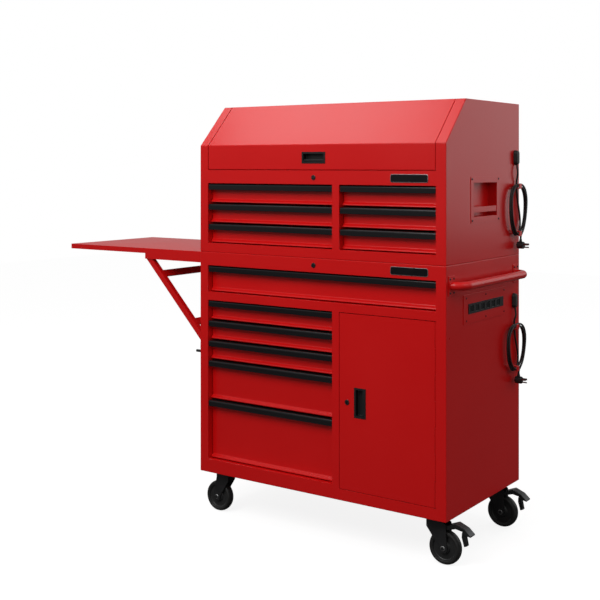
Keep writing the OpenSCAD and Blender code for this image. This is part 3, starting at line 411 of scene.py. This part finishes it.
def carve(shape, tool, way="DIFFERENCE"):
    """Cuts a shape by another one, or keeps what lies inside both."""
    pieces = []
    for part in (shape, tool):
        mesh = bpy.data.meshes.new("cut")
        part.to_mesh(mesh)
        part.free()
        piece = bpy.data.objects.new("cut", mesh)
        bpy.context.scene.collection.objects.link(piece)
        pieces.append(piece)
    cut = pieces[0].modifiers.new("cut", "BOOLEAN")
    cut.operation = way
    cut.solver = "EXACT"
    cut.object = pieces[1]
    bpy.context.view_layer.update()
    left = bpy.data.meshes.new_from_object(pieces[0].evaluated_get(bpy.context.evaluated_depsgraph_get()))
    for piece in pieces:
        bpy.data.objects.remove(piece)
    result = bmesh.new()
    result.from_mesh(left)
    whole_faces(result)
    return result


def add_sheet(shape, x0, x1, y0, y1, z0, z1, soft=0.4, material=0):
    """A block of sheet or bar between two corners of the case, in millimetres."""
    add_block(shape, case_point(x0, y0, z0), case_point(x1, y1, z1), soft * mm, 2, material)


def openings(*boxes):
    """Blocks to cut away, each as x0, x1, y0, y1, z0, z1."""
    tool = bmesh.new()
    for box in boxes:
        add_sheet(tool, *box, soft=0)
    return tool


def folded_case(outline, inner, cuts):
    """A hollow case of sheet steel with round folds and eased openings."""
    wide = half_w / mm
    shape = prism(outline, -wide, wide, fold_r)
    shape = carve(shape, prism(inner, steel_t - wide, wide - steel_t))
    for box in cuts:
        shape = carve(shape, openings(box))
    front = min(v.co.y for v in shape.verts)
    soft_edges(shape, [v for v in shape.verts if v.co.y < front + 1e-5], 0.7 * mm, 2, 60)
    return shape


def add_rail(shape, x0, x1, z0, z1):
    """The two flanges that are folded back from the top and the bottom of a front rail."""
    add_sheet(shape, x0, x1, steel_t, 25, z0, z0 + steel_t)
    add_sheet(shape, x0, x1, steel_t, 25, z1 - steel_t, z1)


# Edges of the openings across the case, and the planes that the sheets of both cases share
open_x = 483
divider = (78, 107.5)
front_skin = (-1, 2)
foot, seam, depth = 159, 991, 582
inner_back = depth - steel_t - 0.1
inner_foot, inner_seam = foot + steel_t, seam - steel_t


def add_inner_frame(shape, z0, z1, divider_z0, divider_z1):
    """The flanges that carry the slides and the two sheets of the divider."""
    for x in (-open_x - steel_t, open_x):
        add_sheet(shape, x, x + steel_t, steel_t, 70, z0, z1)
        add_sheet(shape, x, x + steel_t, 512, inner_back, z0, z1)
    for x in (divider[0], divider[1] - steel_t):
        add_sheet(shape, x, x + steel_t, steel_t, inner_back, divider_z0, divider_z1)


# Heights of the cabinet's openings: the wide drawer, the stack on the left and the door
wide_z = (840.5, 941)
stack_z = (210, 809.9)
door_z = (198.5, 809.9)
cabinet = folded_case(
    [(0, foot), (0, seam), (depth, seam), (depth, foot)],
    [
        (steel_t, inner_foot), (steel_t, inner_seam),
        (depth - steel_t, inner_seam), (depth - steel_t, inner_foot),
    ],
    [
        (-open_x, open_x, *front_skin, *wide_z),
        (-open_x, divider[0], *front_skin, *stack_z),
        (divider[1], open_x, *front_skin, *door_z),
        (518, 522, 152, 440, 812.5, 856.5),
    ],
)
add_inner_frame(cabinet, inner_foot, inner_seam, inner_foot, door_z[1])
add_rail(cabinet, -open_x, open_x, wide_z[1], inner_seam)
add_rail(cabinet, -open_x, open_x, door_z[1], wide_z[0])
add_rail(cabinet, -open_x, divider[0], inner_foot + 0.1, stack_z[0])
add_rail(cabinet, divider[1], open_x, inner_foot + 0.1, door_z[0])
add_sheet(cabinet, *divider, 25.1, inner_back, door_z[1], door_z[1] + steel_t)
# The shelf in the door's compartment
add_sheet(cabinet, divider[1] + 0.1, open_x - 0.1, 35, inner_back, 504.2, 505.7)
join_in(cabinet, node_shape(
    "cabinet_shell", lambda low, high: high.x - low.x < 0.008 and high.y - low.y < 0.008 and low.x > mid_x,
))
# The two straps across the seam at the back, with their screws, are black
strap_black, tree, shader = surface("black_steel", (0.02, 0.02, 0.021), 0.4, metallic=0.2)
add_grain(tree, shader, (0.015, 0.015, 0.016), (0.032, 0.032, 0.033), (0.34, 0.48), 30, 1200, 0.06)
straps = node_shape("cabinet_shell", lambda low, high: low.y > back_y - 0.0005 and high.x - low.x < 0.05)
for solid in islands(straps):
    soft_edges(straps, solid, 0.6 * mm, 2, 35)
join_in(cabinet, straps, 1)
finish_mesh(
    "cabinet_case", cabinet, [red, strap_black], "case", 32, ["cabinet_shell"], clean=False,
)

# Chest case. The same folded steel, with a sloped shoulder between its front and its top.
# The lid closes in the wide opening between its two side frames, over a sheet-steel till.
drawers_z = (1025, 1250.9)
slope_foot, slope_head, slope_back = 1392, 1543, 146
lid_opening = (-open_x, open_x, front_skin[0], 555, 1300.5, slope_head + 57)
cup_opening = (199, 387, 1141, 1260)
chest = folded_case(
    [(0, seam), (0, slope_foot), (slope_back, slope_head), (depth, slope_head), (depth, seam)],
    [
        (steel_t, seam + steel_t), (steel_t, 1391.4), (146.7, slope_head - steel_t),
        (depth - steel_t, slope_head - steel_t), (depth - steel_t, seam + steel_t),
    ],
    [
        (-open_x, divider[0], *front_skin, *drawers_z),
        (divider[1], open_x, *front_skin, *drawers_z),
        lid_opening,
        (-522, -516, *cup_opening),
        (516, 522, *cup_opening),
    ],
)
add_inner_frame(chest, 992.6, 1262.8, drawers_z[0], 1250.8)
add_rail(chest, -open_x, open_x, 992.6, drawers_z[0])
add_rail(chest, -open_x, open_x, drawers_z[1], 1298.5)
# The till's floor, and the upright frame along each side of the lid's opening
add_sheet(chest, -518.9, 518.9, 25.1, inner_back, 1262.9, 1264.4)
for x in (-open_x - steel_t, open_x):
    join_in(chest, prism([
        (1.6, 1264.5), (1.6, 1391.3), (146.8, 1541.4), (555, 1541.4),
        (555, 1523), (154.5, 1523), (20, 1383.9), (20, 1264.5),
    ], x, x + steel_t, 0.4))
join_in(chest, node_shape(
    "chest_shell",
    lambda low, high: high.z - low.z < 0.012 and (high.y - low.y < 0.01 or low.y > back_y - 0.06),
))
finish_mesh("chest_case", chest, [red], "case", 32, ["chest_shell"], clean=False)

# Lid. One folded panel that runs up the front, over the shoulder and back along the top, with its
# sides folded under. It is cut for the pull and carries the turning knuckles of its long hinge.
lid_shape = carve(
    node_shape("lid_panel", lambda low, high: high.x - low.x > 0.5),
    prism(
        [(-0.001, 1302), (-0.001, slope_foot), (slope_back, 1543.001), (560, 1543.001), (560, 1302)],
        -481.001, 481.001, 2.2,
    ),
    "INTERSECT",
)
join_in(lid_shape, node_shape("lid_panel", lambda low, high: high.x - low.x < 0.5))
finish_mesh("lid_skin", lid_shape, [red], "lid", 32, ["lid_panel"], clean=False)

# Drawers. Each front is folded from one sheet with a bright flared lip along its foot, and is
# welded to a tray of thinner sheet. A zinc-plated channel on each side runs in the case's channel.
zinc, tree, shader = surface("zinc_plate", (0.55, 0.56, 0.57), 0.3, metallic=1)
add_grain(tree, shader, (0.42, 0.43, 0.45), (0.62, 0.62, 0.6), (0.24, 0.4), 60, 1800, 0.05)


def dressed(name, node, materials, body, soft=0.5, sharp=32, screws=None):
    """A part's own shape with eased edges. With screws, each solid smaller than 12 mm is a screw
    in the material of that number, whose head is rounded and carries a cross of painted shade:
    two thin dark blocks in the last material, in place of a cut recess."""
    shape = node_shape(node)
    for solid in islands(shape):
        low, high = reach(solid)
        small = max(high - low) < 12 * mm
        is_screw = screws is not None and small
        if is_screw:
            for face in {f for v in solid for f in v.link_faces}:
                face.material_index = screws
        soft_edges(shape, solid, (0.8 if is_screw else soft) * mm, 3 if small else 2, 35)
        if is_screw:
            head = (low + high) / 2
            head.x = high.x if head.x > mid_x else low.x
            # A cross of painted shade on the head: two thin dark blocks in the last material stand in for
            # the recess
            for across, up in ((2.2, 0.45), (0.45, 2.2)):
                size = Vector((0.06, across, up)) * mm
                add_block(shape, head - size, head + size, material=len(materials) - 1)
    bmesh.ops.remove_doubles(shape, verts=shape.verts, dist=2e-6)
    return finish_mesh(name, shape, materials, body, sharp, [node], clean=False)


prefix = "drawer_"
drawers = [n.removeprefix(prefix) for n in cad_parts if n.startswith(prefix) and n != "drawer_rails"]
for which in drawers:
    node = prefix + which
    low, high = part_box(node)
    foot = low.z / mm
    head = high.z / mm
    # The face runs straight down, curves forward in its last 14 mm and ends in a short upright edge
    curve = [(27 - 4.5 * (1 - math.cos(math.pi * i / 10)), foot + 14 - 1.2 * i) for i in range(11)]
    outline = [(27, head)] + curve + [(18, foot + 0.3), (18.3, foot), (19.2, foot), (19.5, foot + 0.3)]
    outline += [(y + 1.5, z - 0.5 if z > foot + 3 else z) for y, z in reversed(curve)] + [(28.5, head)]
    shape = prism(outline, (low.x - mid_x) / mm, (high.x - mid_x) / mm)
    for wanted, material in (
        (lambda a, b: b.x - a.x < 0.03, 1),
        (lambda a, b: b.x - a.x > 0.03 and b.y - a.y > 0.1, 0),
    ):
        inner = carve(node_shape(node, wanted), openings((-530, 530, -5, 28.55, 0, 1600)))
        for solid in islands(inner):
            soft_edges(inner, solid, 0.3 * mm, 1, 60)
        join_in(shape, inner, material)
    finish_mesh(node + "_front", shape, [red, zinc], node, 26, [node], clean=False)
dressed("case_slides", "drawer_rails", [zinc], "case", 0.2)

# Grips. A black extruded strip hooked over the top edge of each drawer, with a satin skin. Its
# round upper edge catches the light along the whole drawer.
# The same satin black also paints shade: the key slots of the locks and the cross recesses of the screws
satin_and_hole_shade, tree, shader = surface("satin_black", (0.008, 0.008, 0.009), 0.18, specular=0.4)
add_grain(tree, shader, (0.006, 0.006, 0.007), (0.01, 0.01, 0.011), (0.16, 0.22), 9, 900, 0.04, (0.2, 4, 4))
for which in drawers:
    dressed("grip_" + which + "_strip", "grip_" + which, [satin_and_hole_shade], prefix + which, 0.5, sharp=24)

# Door. A folded panel that closes flush in its opening on a long hinge of seven knuckles.
dressed("door_skin", "door_panel", [red], "door", 1.1)

# Pulls. Black moulded cups let into the lid and the door, with a flat rim and a rounded mouth.
# A finger lip is moulded across the cup, so that a hand can hook behind it.
moulded, tree, shader = surface("black_moulding", (0.01, 0.01, 0.01), 0.34, specular=0.35)
add_grain(tree, shader, (0.009, 0.009, 0.009), (0.017, 0.017, 0.018), (0.3, 0.42), 18, 1100, 0.1)


def pull_cup(name, node, body, upright):
    """A recessed pull as a hollow cup, with a slanted finger rest along the foot of its mouth."""
    low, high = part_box(node)
    shape = bmesh.new()
    add_block(shape, low, Vector((high.x, low.y + 1.5 * mm, high.z)))
    cup = bmesh.new()
    add_block(cup, low + Vector((5, 0.9, 5)) * mm, high - Vector((5, 0, 5)) * mm)
    shape = carve(shape, cup, "UNION")
    mouth = bmesh.new()
    add_block(mouth, low + Vector((6.5, -1, 6.5)) * mm, high - Vector((6.5, 1.5, 6.5)) * mm, 2.5 * mm, 3)
    shape = carve(shape, mouth)
    soft_edges(shape, [v for v in shape.verts if v.co.y < low.y + 1e-5], 0.6 * mm, 2, 60)
    rest_low = low + Vector((6, 1.2, 6)) * mm
    rest_high = Vector((high.x - 6 * mm, low.y + 9 * mm, low.z + 15 * mm))
    if upright:
        rest_low = Vector((high.x - 15 * mm, low.y + 1.2 * mm, low.z + 6 * mm))
        rest_high = Vector((high.x - 6 * mm, low.y + 9 * mm, high.z - 6 * mm))
    add_block(shape, rest_low, rest_high, 3.5 * mm, 4)
    finish_mesh(name, shape, [moulded], body, 32, [node], clean=False)


pull_cup("lid_pull", "lid_handle", "lid", False)
pull_cup("door_pull", "door_handle", "door", True)

# Locks. Turned brass cylinders with a dark chrome face and a raised ring, and a steel cam
# screwed on behind. The key slot is painted shade: a dark satin block flush with the face, not a cut slot.
lock_metal, tree, shader = surface("dark_chrome", (0.09, 0.09, 0.095), 0.25, metallic=1)
add_grain(tree, shader, (0.06, 0.06, 0.064), (0.13, 0.13, 0.135), (0.2, 0.32), 150, 2400, 0.04)
lock_r = 9.5
# The turned steps of a lock, as their start and end behind its face and the radius at each
lock_steps = ((0.6, 2.9, 8.6, 9.5), (0, 2.2, 7.2, 7.6), (2.5, 21, 7.9, 7.9))
for node in ("chest_lock", "cabinet_lock", "door_lock"):
    low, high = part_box(node)
    face = Vector(((low.x + high.x) / 2, low.y, low.z + lock_r * mm))
    shape = bmesh.new()
    for y0, y1, r0, r1 in lock_steps:
        start = face + Vector((0, y0 * mm, 0))
        add_round(shape, start, face + Vector((0, y1 * mm, 0)), r0 * mm, r1 * mm, 40, 0.35 * mm)
    # The key slot, as painted shade: a dark block flush with the face
    add_block(shape, face - Vector((1, 0, 4)) * mm, face + Vector((1, 1, 4)) * mm, 0.2 * mm, material=1)
    cam_low = Vector((face.x - 6 * mm, high.y - 2 * mm, face.z - 7 * mm))
    add_block(shape, cam_low, Vector((face.x + 6 * mm, high.y, high.z)), 0.5 * mm, material=2)
    metals = [lock_metal, satin_and_hole_shade, zinc]
    finish_mesh(node + "_barrel", shape, metals, node, 32, [node], clean=False)

# Name plates. Small blank plates of black enamel in a bright pressed frame, stuck on the rails.
bright, tree, shader = surface("bright_trim", (0.4, 0.4, 0.41), 0.3, metallic=1)
add_grain(tree, shader, (0.32, 0.32, 0.33), (0.46, 0.46, 0.47), (0.25, 0.38), 80, 1500, 0.04)
# The same black also paints the shade in the slots and earth holes of the sockets
enamel_and_hole_shade, tree, shader = surface("black_enamel", (0.006, 0.006, 0.007), 0.2, specular=0.3)
add_grain(tree, shader, (0.004, 0.004, 0.005), (0.008, 0.008, 0.009), (0.17, 0.25), 20, 1000, 0.03)


def add_plate(shape, x0, x1, y0, y1, z0, z1, corner, soft, material):
    """A thin plate on the front with round corners and a soft edge."""
    plate = openings((x0, x1, y0, y1, z0, z1))
    upright = [e for e in plate.edges if abs(e.verts[0].co.y - e.verts[1].co.y) > 1e-5]
    bmesh.ops.bevel(
        plate, geom=upright, offset=corner * mm, offset_type="OFFSET", affect="EDGES", segments=6,
        profile=0.5, material=-1,
    )
    soft_edges(plate, [v for v in plate.verts if v.co.y < front_y + (y0 + 0.01) * mm], soft * mm, 2, 60)
    join_in(shape, plate, material)


shape = bmesh.new()
for up in (1274.7, 966):
    add_plate(shape, 312.5, 455.5, -1.9, -0.05, up - 14, up + 14, 7, 0.7, 0)
    add_plate(shape, 314.2, 453.8, -2.5, -1, up - 12.3, up + 12.3, 5.5, 0.5, 1)
finish_mesh("name_plates", shape, [bright, enamel_and_hole_shade], "case", 32, ["badges"], clean=False)

# Push handle. A steel tube bent out from two flanges, each held by four screws, all in red.
dark_screw, tree, shader = surface("black_zinc_screw", (0.05, 0.05, 0.052), 0.35, metallic=1)
add_grain(tree, shader, (0.035, 0.035, 0.037), (0.075, 0.075, 0.08), (0.3, 0.44), 200, 2600, 0.04)
dressed("push_bar", "push_handle", [red, dark_screw, satin_and_hole_shade], "case", 0.9, sharp=28, screws=1)

# Carry handles. A pressed cup let into each side of the chest, with a bar across its mouth.
dressed("carry_cups", "carry_handles", [red, dark_screw, satin_and_hole_shade], "case", 1.0, screws=1)

# Power plate. A red plate screwed over the cut-out in the side. The black strip of sockets
# stands a little out of it, with a shuttered insert in each seat.
dressed("power_plate", "power_panel", [red, dark_screw, satin_and_hole_shade], "case", 0.6, screws=1)
strips = node_shape("power_strips")
for solid in islands(strips):
    soft_edges(strips, solid, 0.5 * mm, 2, 35)
socket_count = 6
socket_pitch = 42
insert_half = 12.2
# The outer strip faces right, and the one in the till faces forward. Each has an insert, and its
# two slots over a square earth hole are painted shade: thin dark marks drawn from the insert's face
# outwards, not cut holes.
outer_insert, outer_hole_shade = (522.3, 523.2), (523.1, 523.26)
till_insert, till_hole_shade = (543.4, 544.2), (543.24, 543.5)
for i in range(socket_count):
    across = (i - (socket_count - 1) / 2) * socket_pitch
    seat = 287 + across
    add_sheet(strips, *outer_insert, seat - insert_half, seat + insert_half, 824.3, 844.7, 0.3, 1)
    add_sheet(strips, across - insert_half, across + insert_half, *till_insert, 1355.3, 1375.7, 0.3, 1)
    for slot, high in ((-4.5, 4), (4.5, 5)):
        add_sheet(strips, *outer_hole_shade, seat + slot - 0.9, seat + slot + 0.9, 836.5, 836.5 + high, 0, 2)
        add_sheet(strips, across + slot - 0.9, across + slot + 0.9, *till_hole_shade, 1367, 1373, 0, 2)
    add_sheet(strips, *outer_hole_shade, seat - 2, seat + 2, 827.5, 831.5, 0, 2)
    add_sheet(strips, across - 2, across + 2, *till_hole_shade, 1358.5, 1362.5, 0, 2)
finish_mesh(
    "socket_strips", strips, [moulded, satin_and_hole_shade, enamel_and_hole_shade], "case", 32, ["power_strips"],
    clean=False,
)

# Grommets. Black moulded rubber bosses pushed through the side, tapering outwards, from which
# the cords leave downwards.
dressed("grommet_bosses", "cord_grommets", [hard_rubber], "case", 3.2)

# Cord hooks. Bent steel strips, welded on and coated with the case.
dressed("hook_strips", "cord_hooks", [red], "case", 0.7)

# Gas struts. Each black tube turns on a stud in the till, and its bright rod holds the lid.
chrome, tree, shader = surface("hard_chrome", (0.66, 0.67, 0.68), 0.12, metallic=1)
add_grain(tree, shader, (0.58, 0.59, 0.6), (0.7, 0.7, 0.71), (0.09, 0.16), 90, 2000, 0.02)
dressed("strut_cylinders", "strut_tubes", [satin_and_hole_shade], "strut_tube", 0.6)
dressed("strut_pistons", "strut_rods", [chrome], "strut_rod", 0.5)

# Side shelf. A panel with its edges folded down and a rail under each side, on two hinge pins.
dressed("shelf_panel", "side_shelf", [red], "shelf", 1.2)

# Brace. Two square tubes with rounded ends, joined by two flat cross bars, that stand in brackets.
dressed("brace_legs", "shelf_brace", [red], "brace", 1.6)

# Brackets and pegs on the left side. The brackets are red steel, welded on. The two rest pegs are
# the lowest pieces there, and their outer ends are black.
brackets = dressed("left_brackets", "shelf_brackets", [red, hard_rubber], "case", 0.7)
peg_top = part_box("shelf_brackets")[0].z + 10.5 * mm
for face in brackets.data.polygons:
    if face.center.z < peg_top and face.center.x < mid_x - half_w - 4 * mm:
        face.material_index = 1

# Casters. Black-coated pressed steel plates and forks on a ball race. The right pair swivel and
# have brake pedals, and the left pair are fixed. A plated nut holds each axle.
pedal_steel, tree, shader = surface("pedal_steel", (0.05, 0.052, 0.055), 0.28, metallic=0.85)
add_grain(tree, shader, (0.035, 0.036, 0.038), (0.085, 0.087, 0.09), (0.22, 0.34), 45, 1500, 0.06)
caster_black, tree, shader = surface("caster_steel", (0.02, 0.02, 0.021), 0.36, metallic=0.3)
add_grain(tree, shader, (0.014, 0.014, 0.015), (0.03, 0.03, 0.031), (0.3, 0.46), 30, 1300, 0.08)
dressed("caster_plates", "caster_mounts", [caster_black], "case", 0.8)
wheel_places = {}
for where in ("front_right", "rear_right", "front_left", "rear_left"):
    low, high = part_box("wheel_" + where)
    wheel_places[where] = (low + high) / 2


def add_nuts(shape, where, material):
    """A plated nut and a washer on each end of an axle."""
    middle = wheel_places[where]
    for side in (-1, 1):
        for out0, out1, r, sides in ((21.6, 22.8, 8.5, 32), (22.6, 25.3, 7, 6)):
            add_round(
                shape, middle + Vector((0, side * out0 * mm, 0)), middle + Vector((0, side * out1 * mm, 0)),
                r * mm, None, sides, 0.4 * mm, material,
            )


for where in ("front_left", "rear_left"):
    nuts = bmesh.new()
    add_nuts(nuts, where, 0)
    finish_mesh("nuts_" + where, nuts, [zinc], "case", clean=False)
for where in ("front_right", "rear_right"):
    node = "swivel_fork_" + where
    fork = node_shape(node)
    for solid in islands(fork):
        soft_edges(fork, solid, 0.8 * mm, 2, 35)
    add_nuts(fork, where, 1)
    body = "fork_" + where
    finish_mesh(body, fork, [caster_black, zinc], body, 32, [node], clean=False)
    node = "brake_pedal_" + where
    pedal = node_shape(node)
    for solid in islands(pedal):
        soft_edges(pedal, solid, 0.9 * mm, 2, 35)
    low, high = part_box(node)
    # Five ridges across the tread, each further out and lower than the last
    for i in range(5):
        out = low.x + (57 + 5.4 * i) * mm
        drop = 2.3 * i
        ridge_low = Vector((out, low.y + 3 * mm, high.z - (3 + drop) * mm))
        ridge_high = Vector((out + 2 * mm, high.y - 3 * mm, high.z - (0.9 + drop) * mm))
        add_block(pedal, ridge_low, ridge_high, 0.5 * mm)
    body = "pedal_" + where
    finish_mesh(body, pedal, [pedal_steel], body, 32, [node], clean=False)

# Wheels. A moulded hub with a stepped web, and a solid tyre of harder black rubber round it.
tyre, tree, shader = surface("tyre_rubber", (0.012, 0.012, 0.012), 0.5)
add_grain(tree, shader, (0.008, 0.008, 0.008), (0.022, 0.021, 0.02), (0.42, 0.6), 26, 1500, 0.14)
hub, tree, shader = surface("hub_plastic", (0.02, 0.02, 0.02), 0.3)
add_grain(tree, shader, (0.015, 0.015, 0.015), (0.03, 0.03, 0.03), (0.26, 0.38), 22, 1200, 0.06)
# Half of the wheel's section, as radius and distance from its middle
hub_section = [
    (6.1, 16), (17, 16), (19, 15.2), (20.5, 12), (22.5, 9.6), (38, 8.8), (40, 10), (41.5, 13.6), (43.5, 14),
]
tyre_section = [(43.5, 14), (44.5, 15), (48, 15.6), (50.5, 15.4), (54, 12.6), (56, 8), (57, 3)]
for where, middle in wheel_places.items():
    shape = bmesh.new()
    half = hub_section + tyre_section[1:]
    ring = [(r, -y) for r, y in half] + [(r, y) for r, y in reversed(half)]
    verts = [shape.verts.new(middle + Vector((0, y * mm, r * mm))) for r, y in ring]
    edges = [shape.edges.new((a, b)) for a, b in zip(verts, verts[1:] + verts[:1])]
    bmesh.ops.spin(
        shape, geom=verts + edges, cent=middle, axis=(0, 1, 0), dvec=(0, 0, 0), angle=2 * math.pi, steps=96,
        use_merge=True,
    )
    bmesh.ops.remove_doubles(shape, verts=shape.verts, dist=1e-6)
    bmesh.ops.recalc_face_normals(shape, faces=shape.faces)
    hub_r = (hub_section[-1][0] + 0.1) * mm
    for face in shape.faces:
        offset = face.calc_center_median() - middle
        face.material_index = 1 if math.hypot(offset.x, offset.z) < hub_r else 0
    finish_mesh("wheel_" + where + "_tyre", shape, [tyre, hub], "wheel_" + where, 26,
                ["wheel_" + where], clean=False)

# Floor and lights. A plain pale floor and four large soft lights in a pale room. As in a cut-out
# studio picture, the camera sees the floor and the room white, while what they throw on the case
# is dimmer and falls off towards the floor.
floor_shape = bmesh.new()
bmesh.ops.create_grid(floor_shape, x_segments=1, y_segments=1, size=9)
floor_mesh = bpy.data.meshes.new("floor")
floor_shape.to_mesh(floor_mesh)
floor_shape.free()
floor = bpy.data.objects.new("floor", floor_mesh)
bpy.context.scene.collection.objects.link(floor)
pale, tree, shader = surface("pale_floor", (0.1, 0.1, 0.1), 0.9, specular=0.1)
seen = tree.nodes.new("ShaderNodeBsdfDiffuse")
seen.inputs["Color"].default_value = (0.3, 0.3, 0.3, 1)
glow = tree.nodes.new("ShaderNodeEmission")
glow.inputs["Color"].default_value = (1, 1, 1, 1)
glow.inputs["Strength"].default_value = 0.86
both = tree.nodes.new("ShaderNodeAddShader")
tree.links.new(seen.outputs["BSDF"], both.inputs[0])
tree.links.new(glow.outputs["Emission"], both.inputs[1])
who = tree.nodes.new("ShaderNodeLightPath")
choice = tree.nodes.new("ShaderNodeMixShader")
tree.links.new(who.outputs["Is Camera Ray"], choice.inputs["Fac"])
tree.links.new(shader.outputs["BSDF"], choice.inputs[1])
tree.links.new(both.outputs["Shader"], choice.inputs[2])
tree.links.new(choice.outputs["Shader"], tree.nodes["Material Output"].inputs["Surface"])
floor_mesh.materials.append(pale)
chest_middle = Vector((mid_x, (front_y + back_y) / 2, 0.9))
for name, place, size, power in (
    ("front_light", (mid_x - 0.2, front_y - 2.4, 3.0), 1.9, 57),
    ("top_light", (mid_x - 1.6, front_y + 0.1, 4.0), 1.5, 19),
    ("side_light", (mid_x + 2.9, front_y + 0.2, 3.1), 1.7, 11),
    ("back_light", (mid_x + 2.3, back_y + 2.9, 1.9), 2.2, 13),
):
    lamp = bpy.data.lights.new(name, "AREA")
    lamp.size = size
    lamp.energy = power
    light = bpy.data.objects.new(name, lamp)
    light.location = place
    light.rotation_euler = (chest_middle - Vector(place)).to_track_quat("-Z", "Y").to_euler()
    bpy.context.scene.collection.objects.link(light)
room = bpy.data.worlds.new("room")
room.use_nodes = True
tree = room.node_tree
dim = tree.nodes["Background"]
white = tree.nodes.new("ShaderNodeBackground")
white.inputs["Color"].default_value = (1, 1, 1, 1)
white.inputs["Strength"].default_value = 1
way = tree.nodes.new("ShaderNodeTexCoord")
parts = tree.nodes.new("ShaderNodeSeparateXYZ")
tree.links.new(way.outputs["Generated"], parts.inputs["Vector"])
rise = tree.nodes.new("ShaderNodeMapRange")
for label, value in (("From Min", -0.12), ("From Max", 0.14), ("To Min", 0.05), ("To Max", 0.42)):
    rise.inputs[label].default_value = value
tree.links.new(parts.outputs["Z"], rise.inputs["Value"])
dim.inputs["Color"].default_value = (1, 1, 1, 1)
tree.links.new(rise.outputs["Result"], dim.inputs["Strength"])
who = tree.nodes.new("ShaderNodeLightPath")
choice = tree.nodes.new("ShaderNodeMixShader")
tree.links.new(who.outputs["Is Camera Ray"], choice.inputs["Fac"])
tree.links.new(dim.outputs["Background"], choice.inputs[1])
tree.links.new(white.outputs["Background"], choice.inputs[2])
tree.links.new(choice.outputs["Shader"], tree.nodes["World Output"].inputs["Surface"])
bpy.context.scene.world = room
bpy.context.scene.view_settings.view_transform = "Standard"
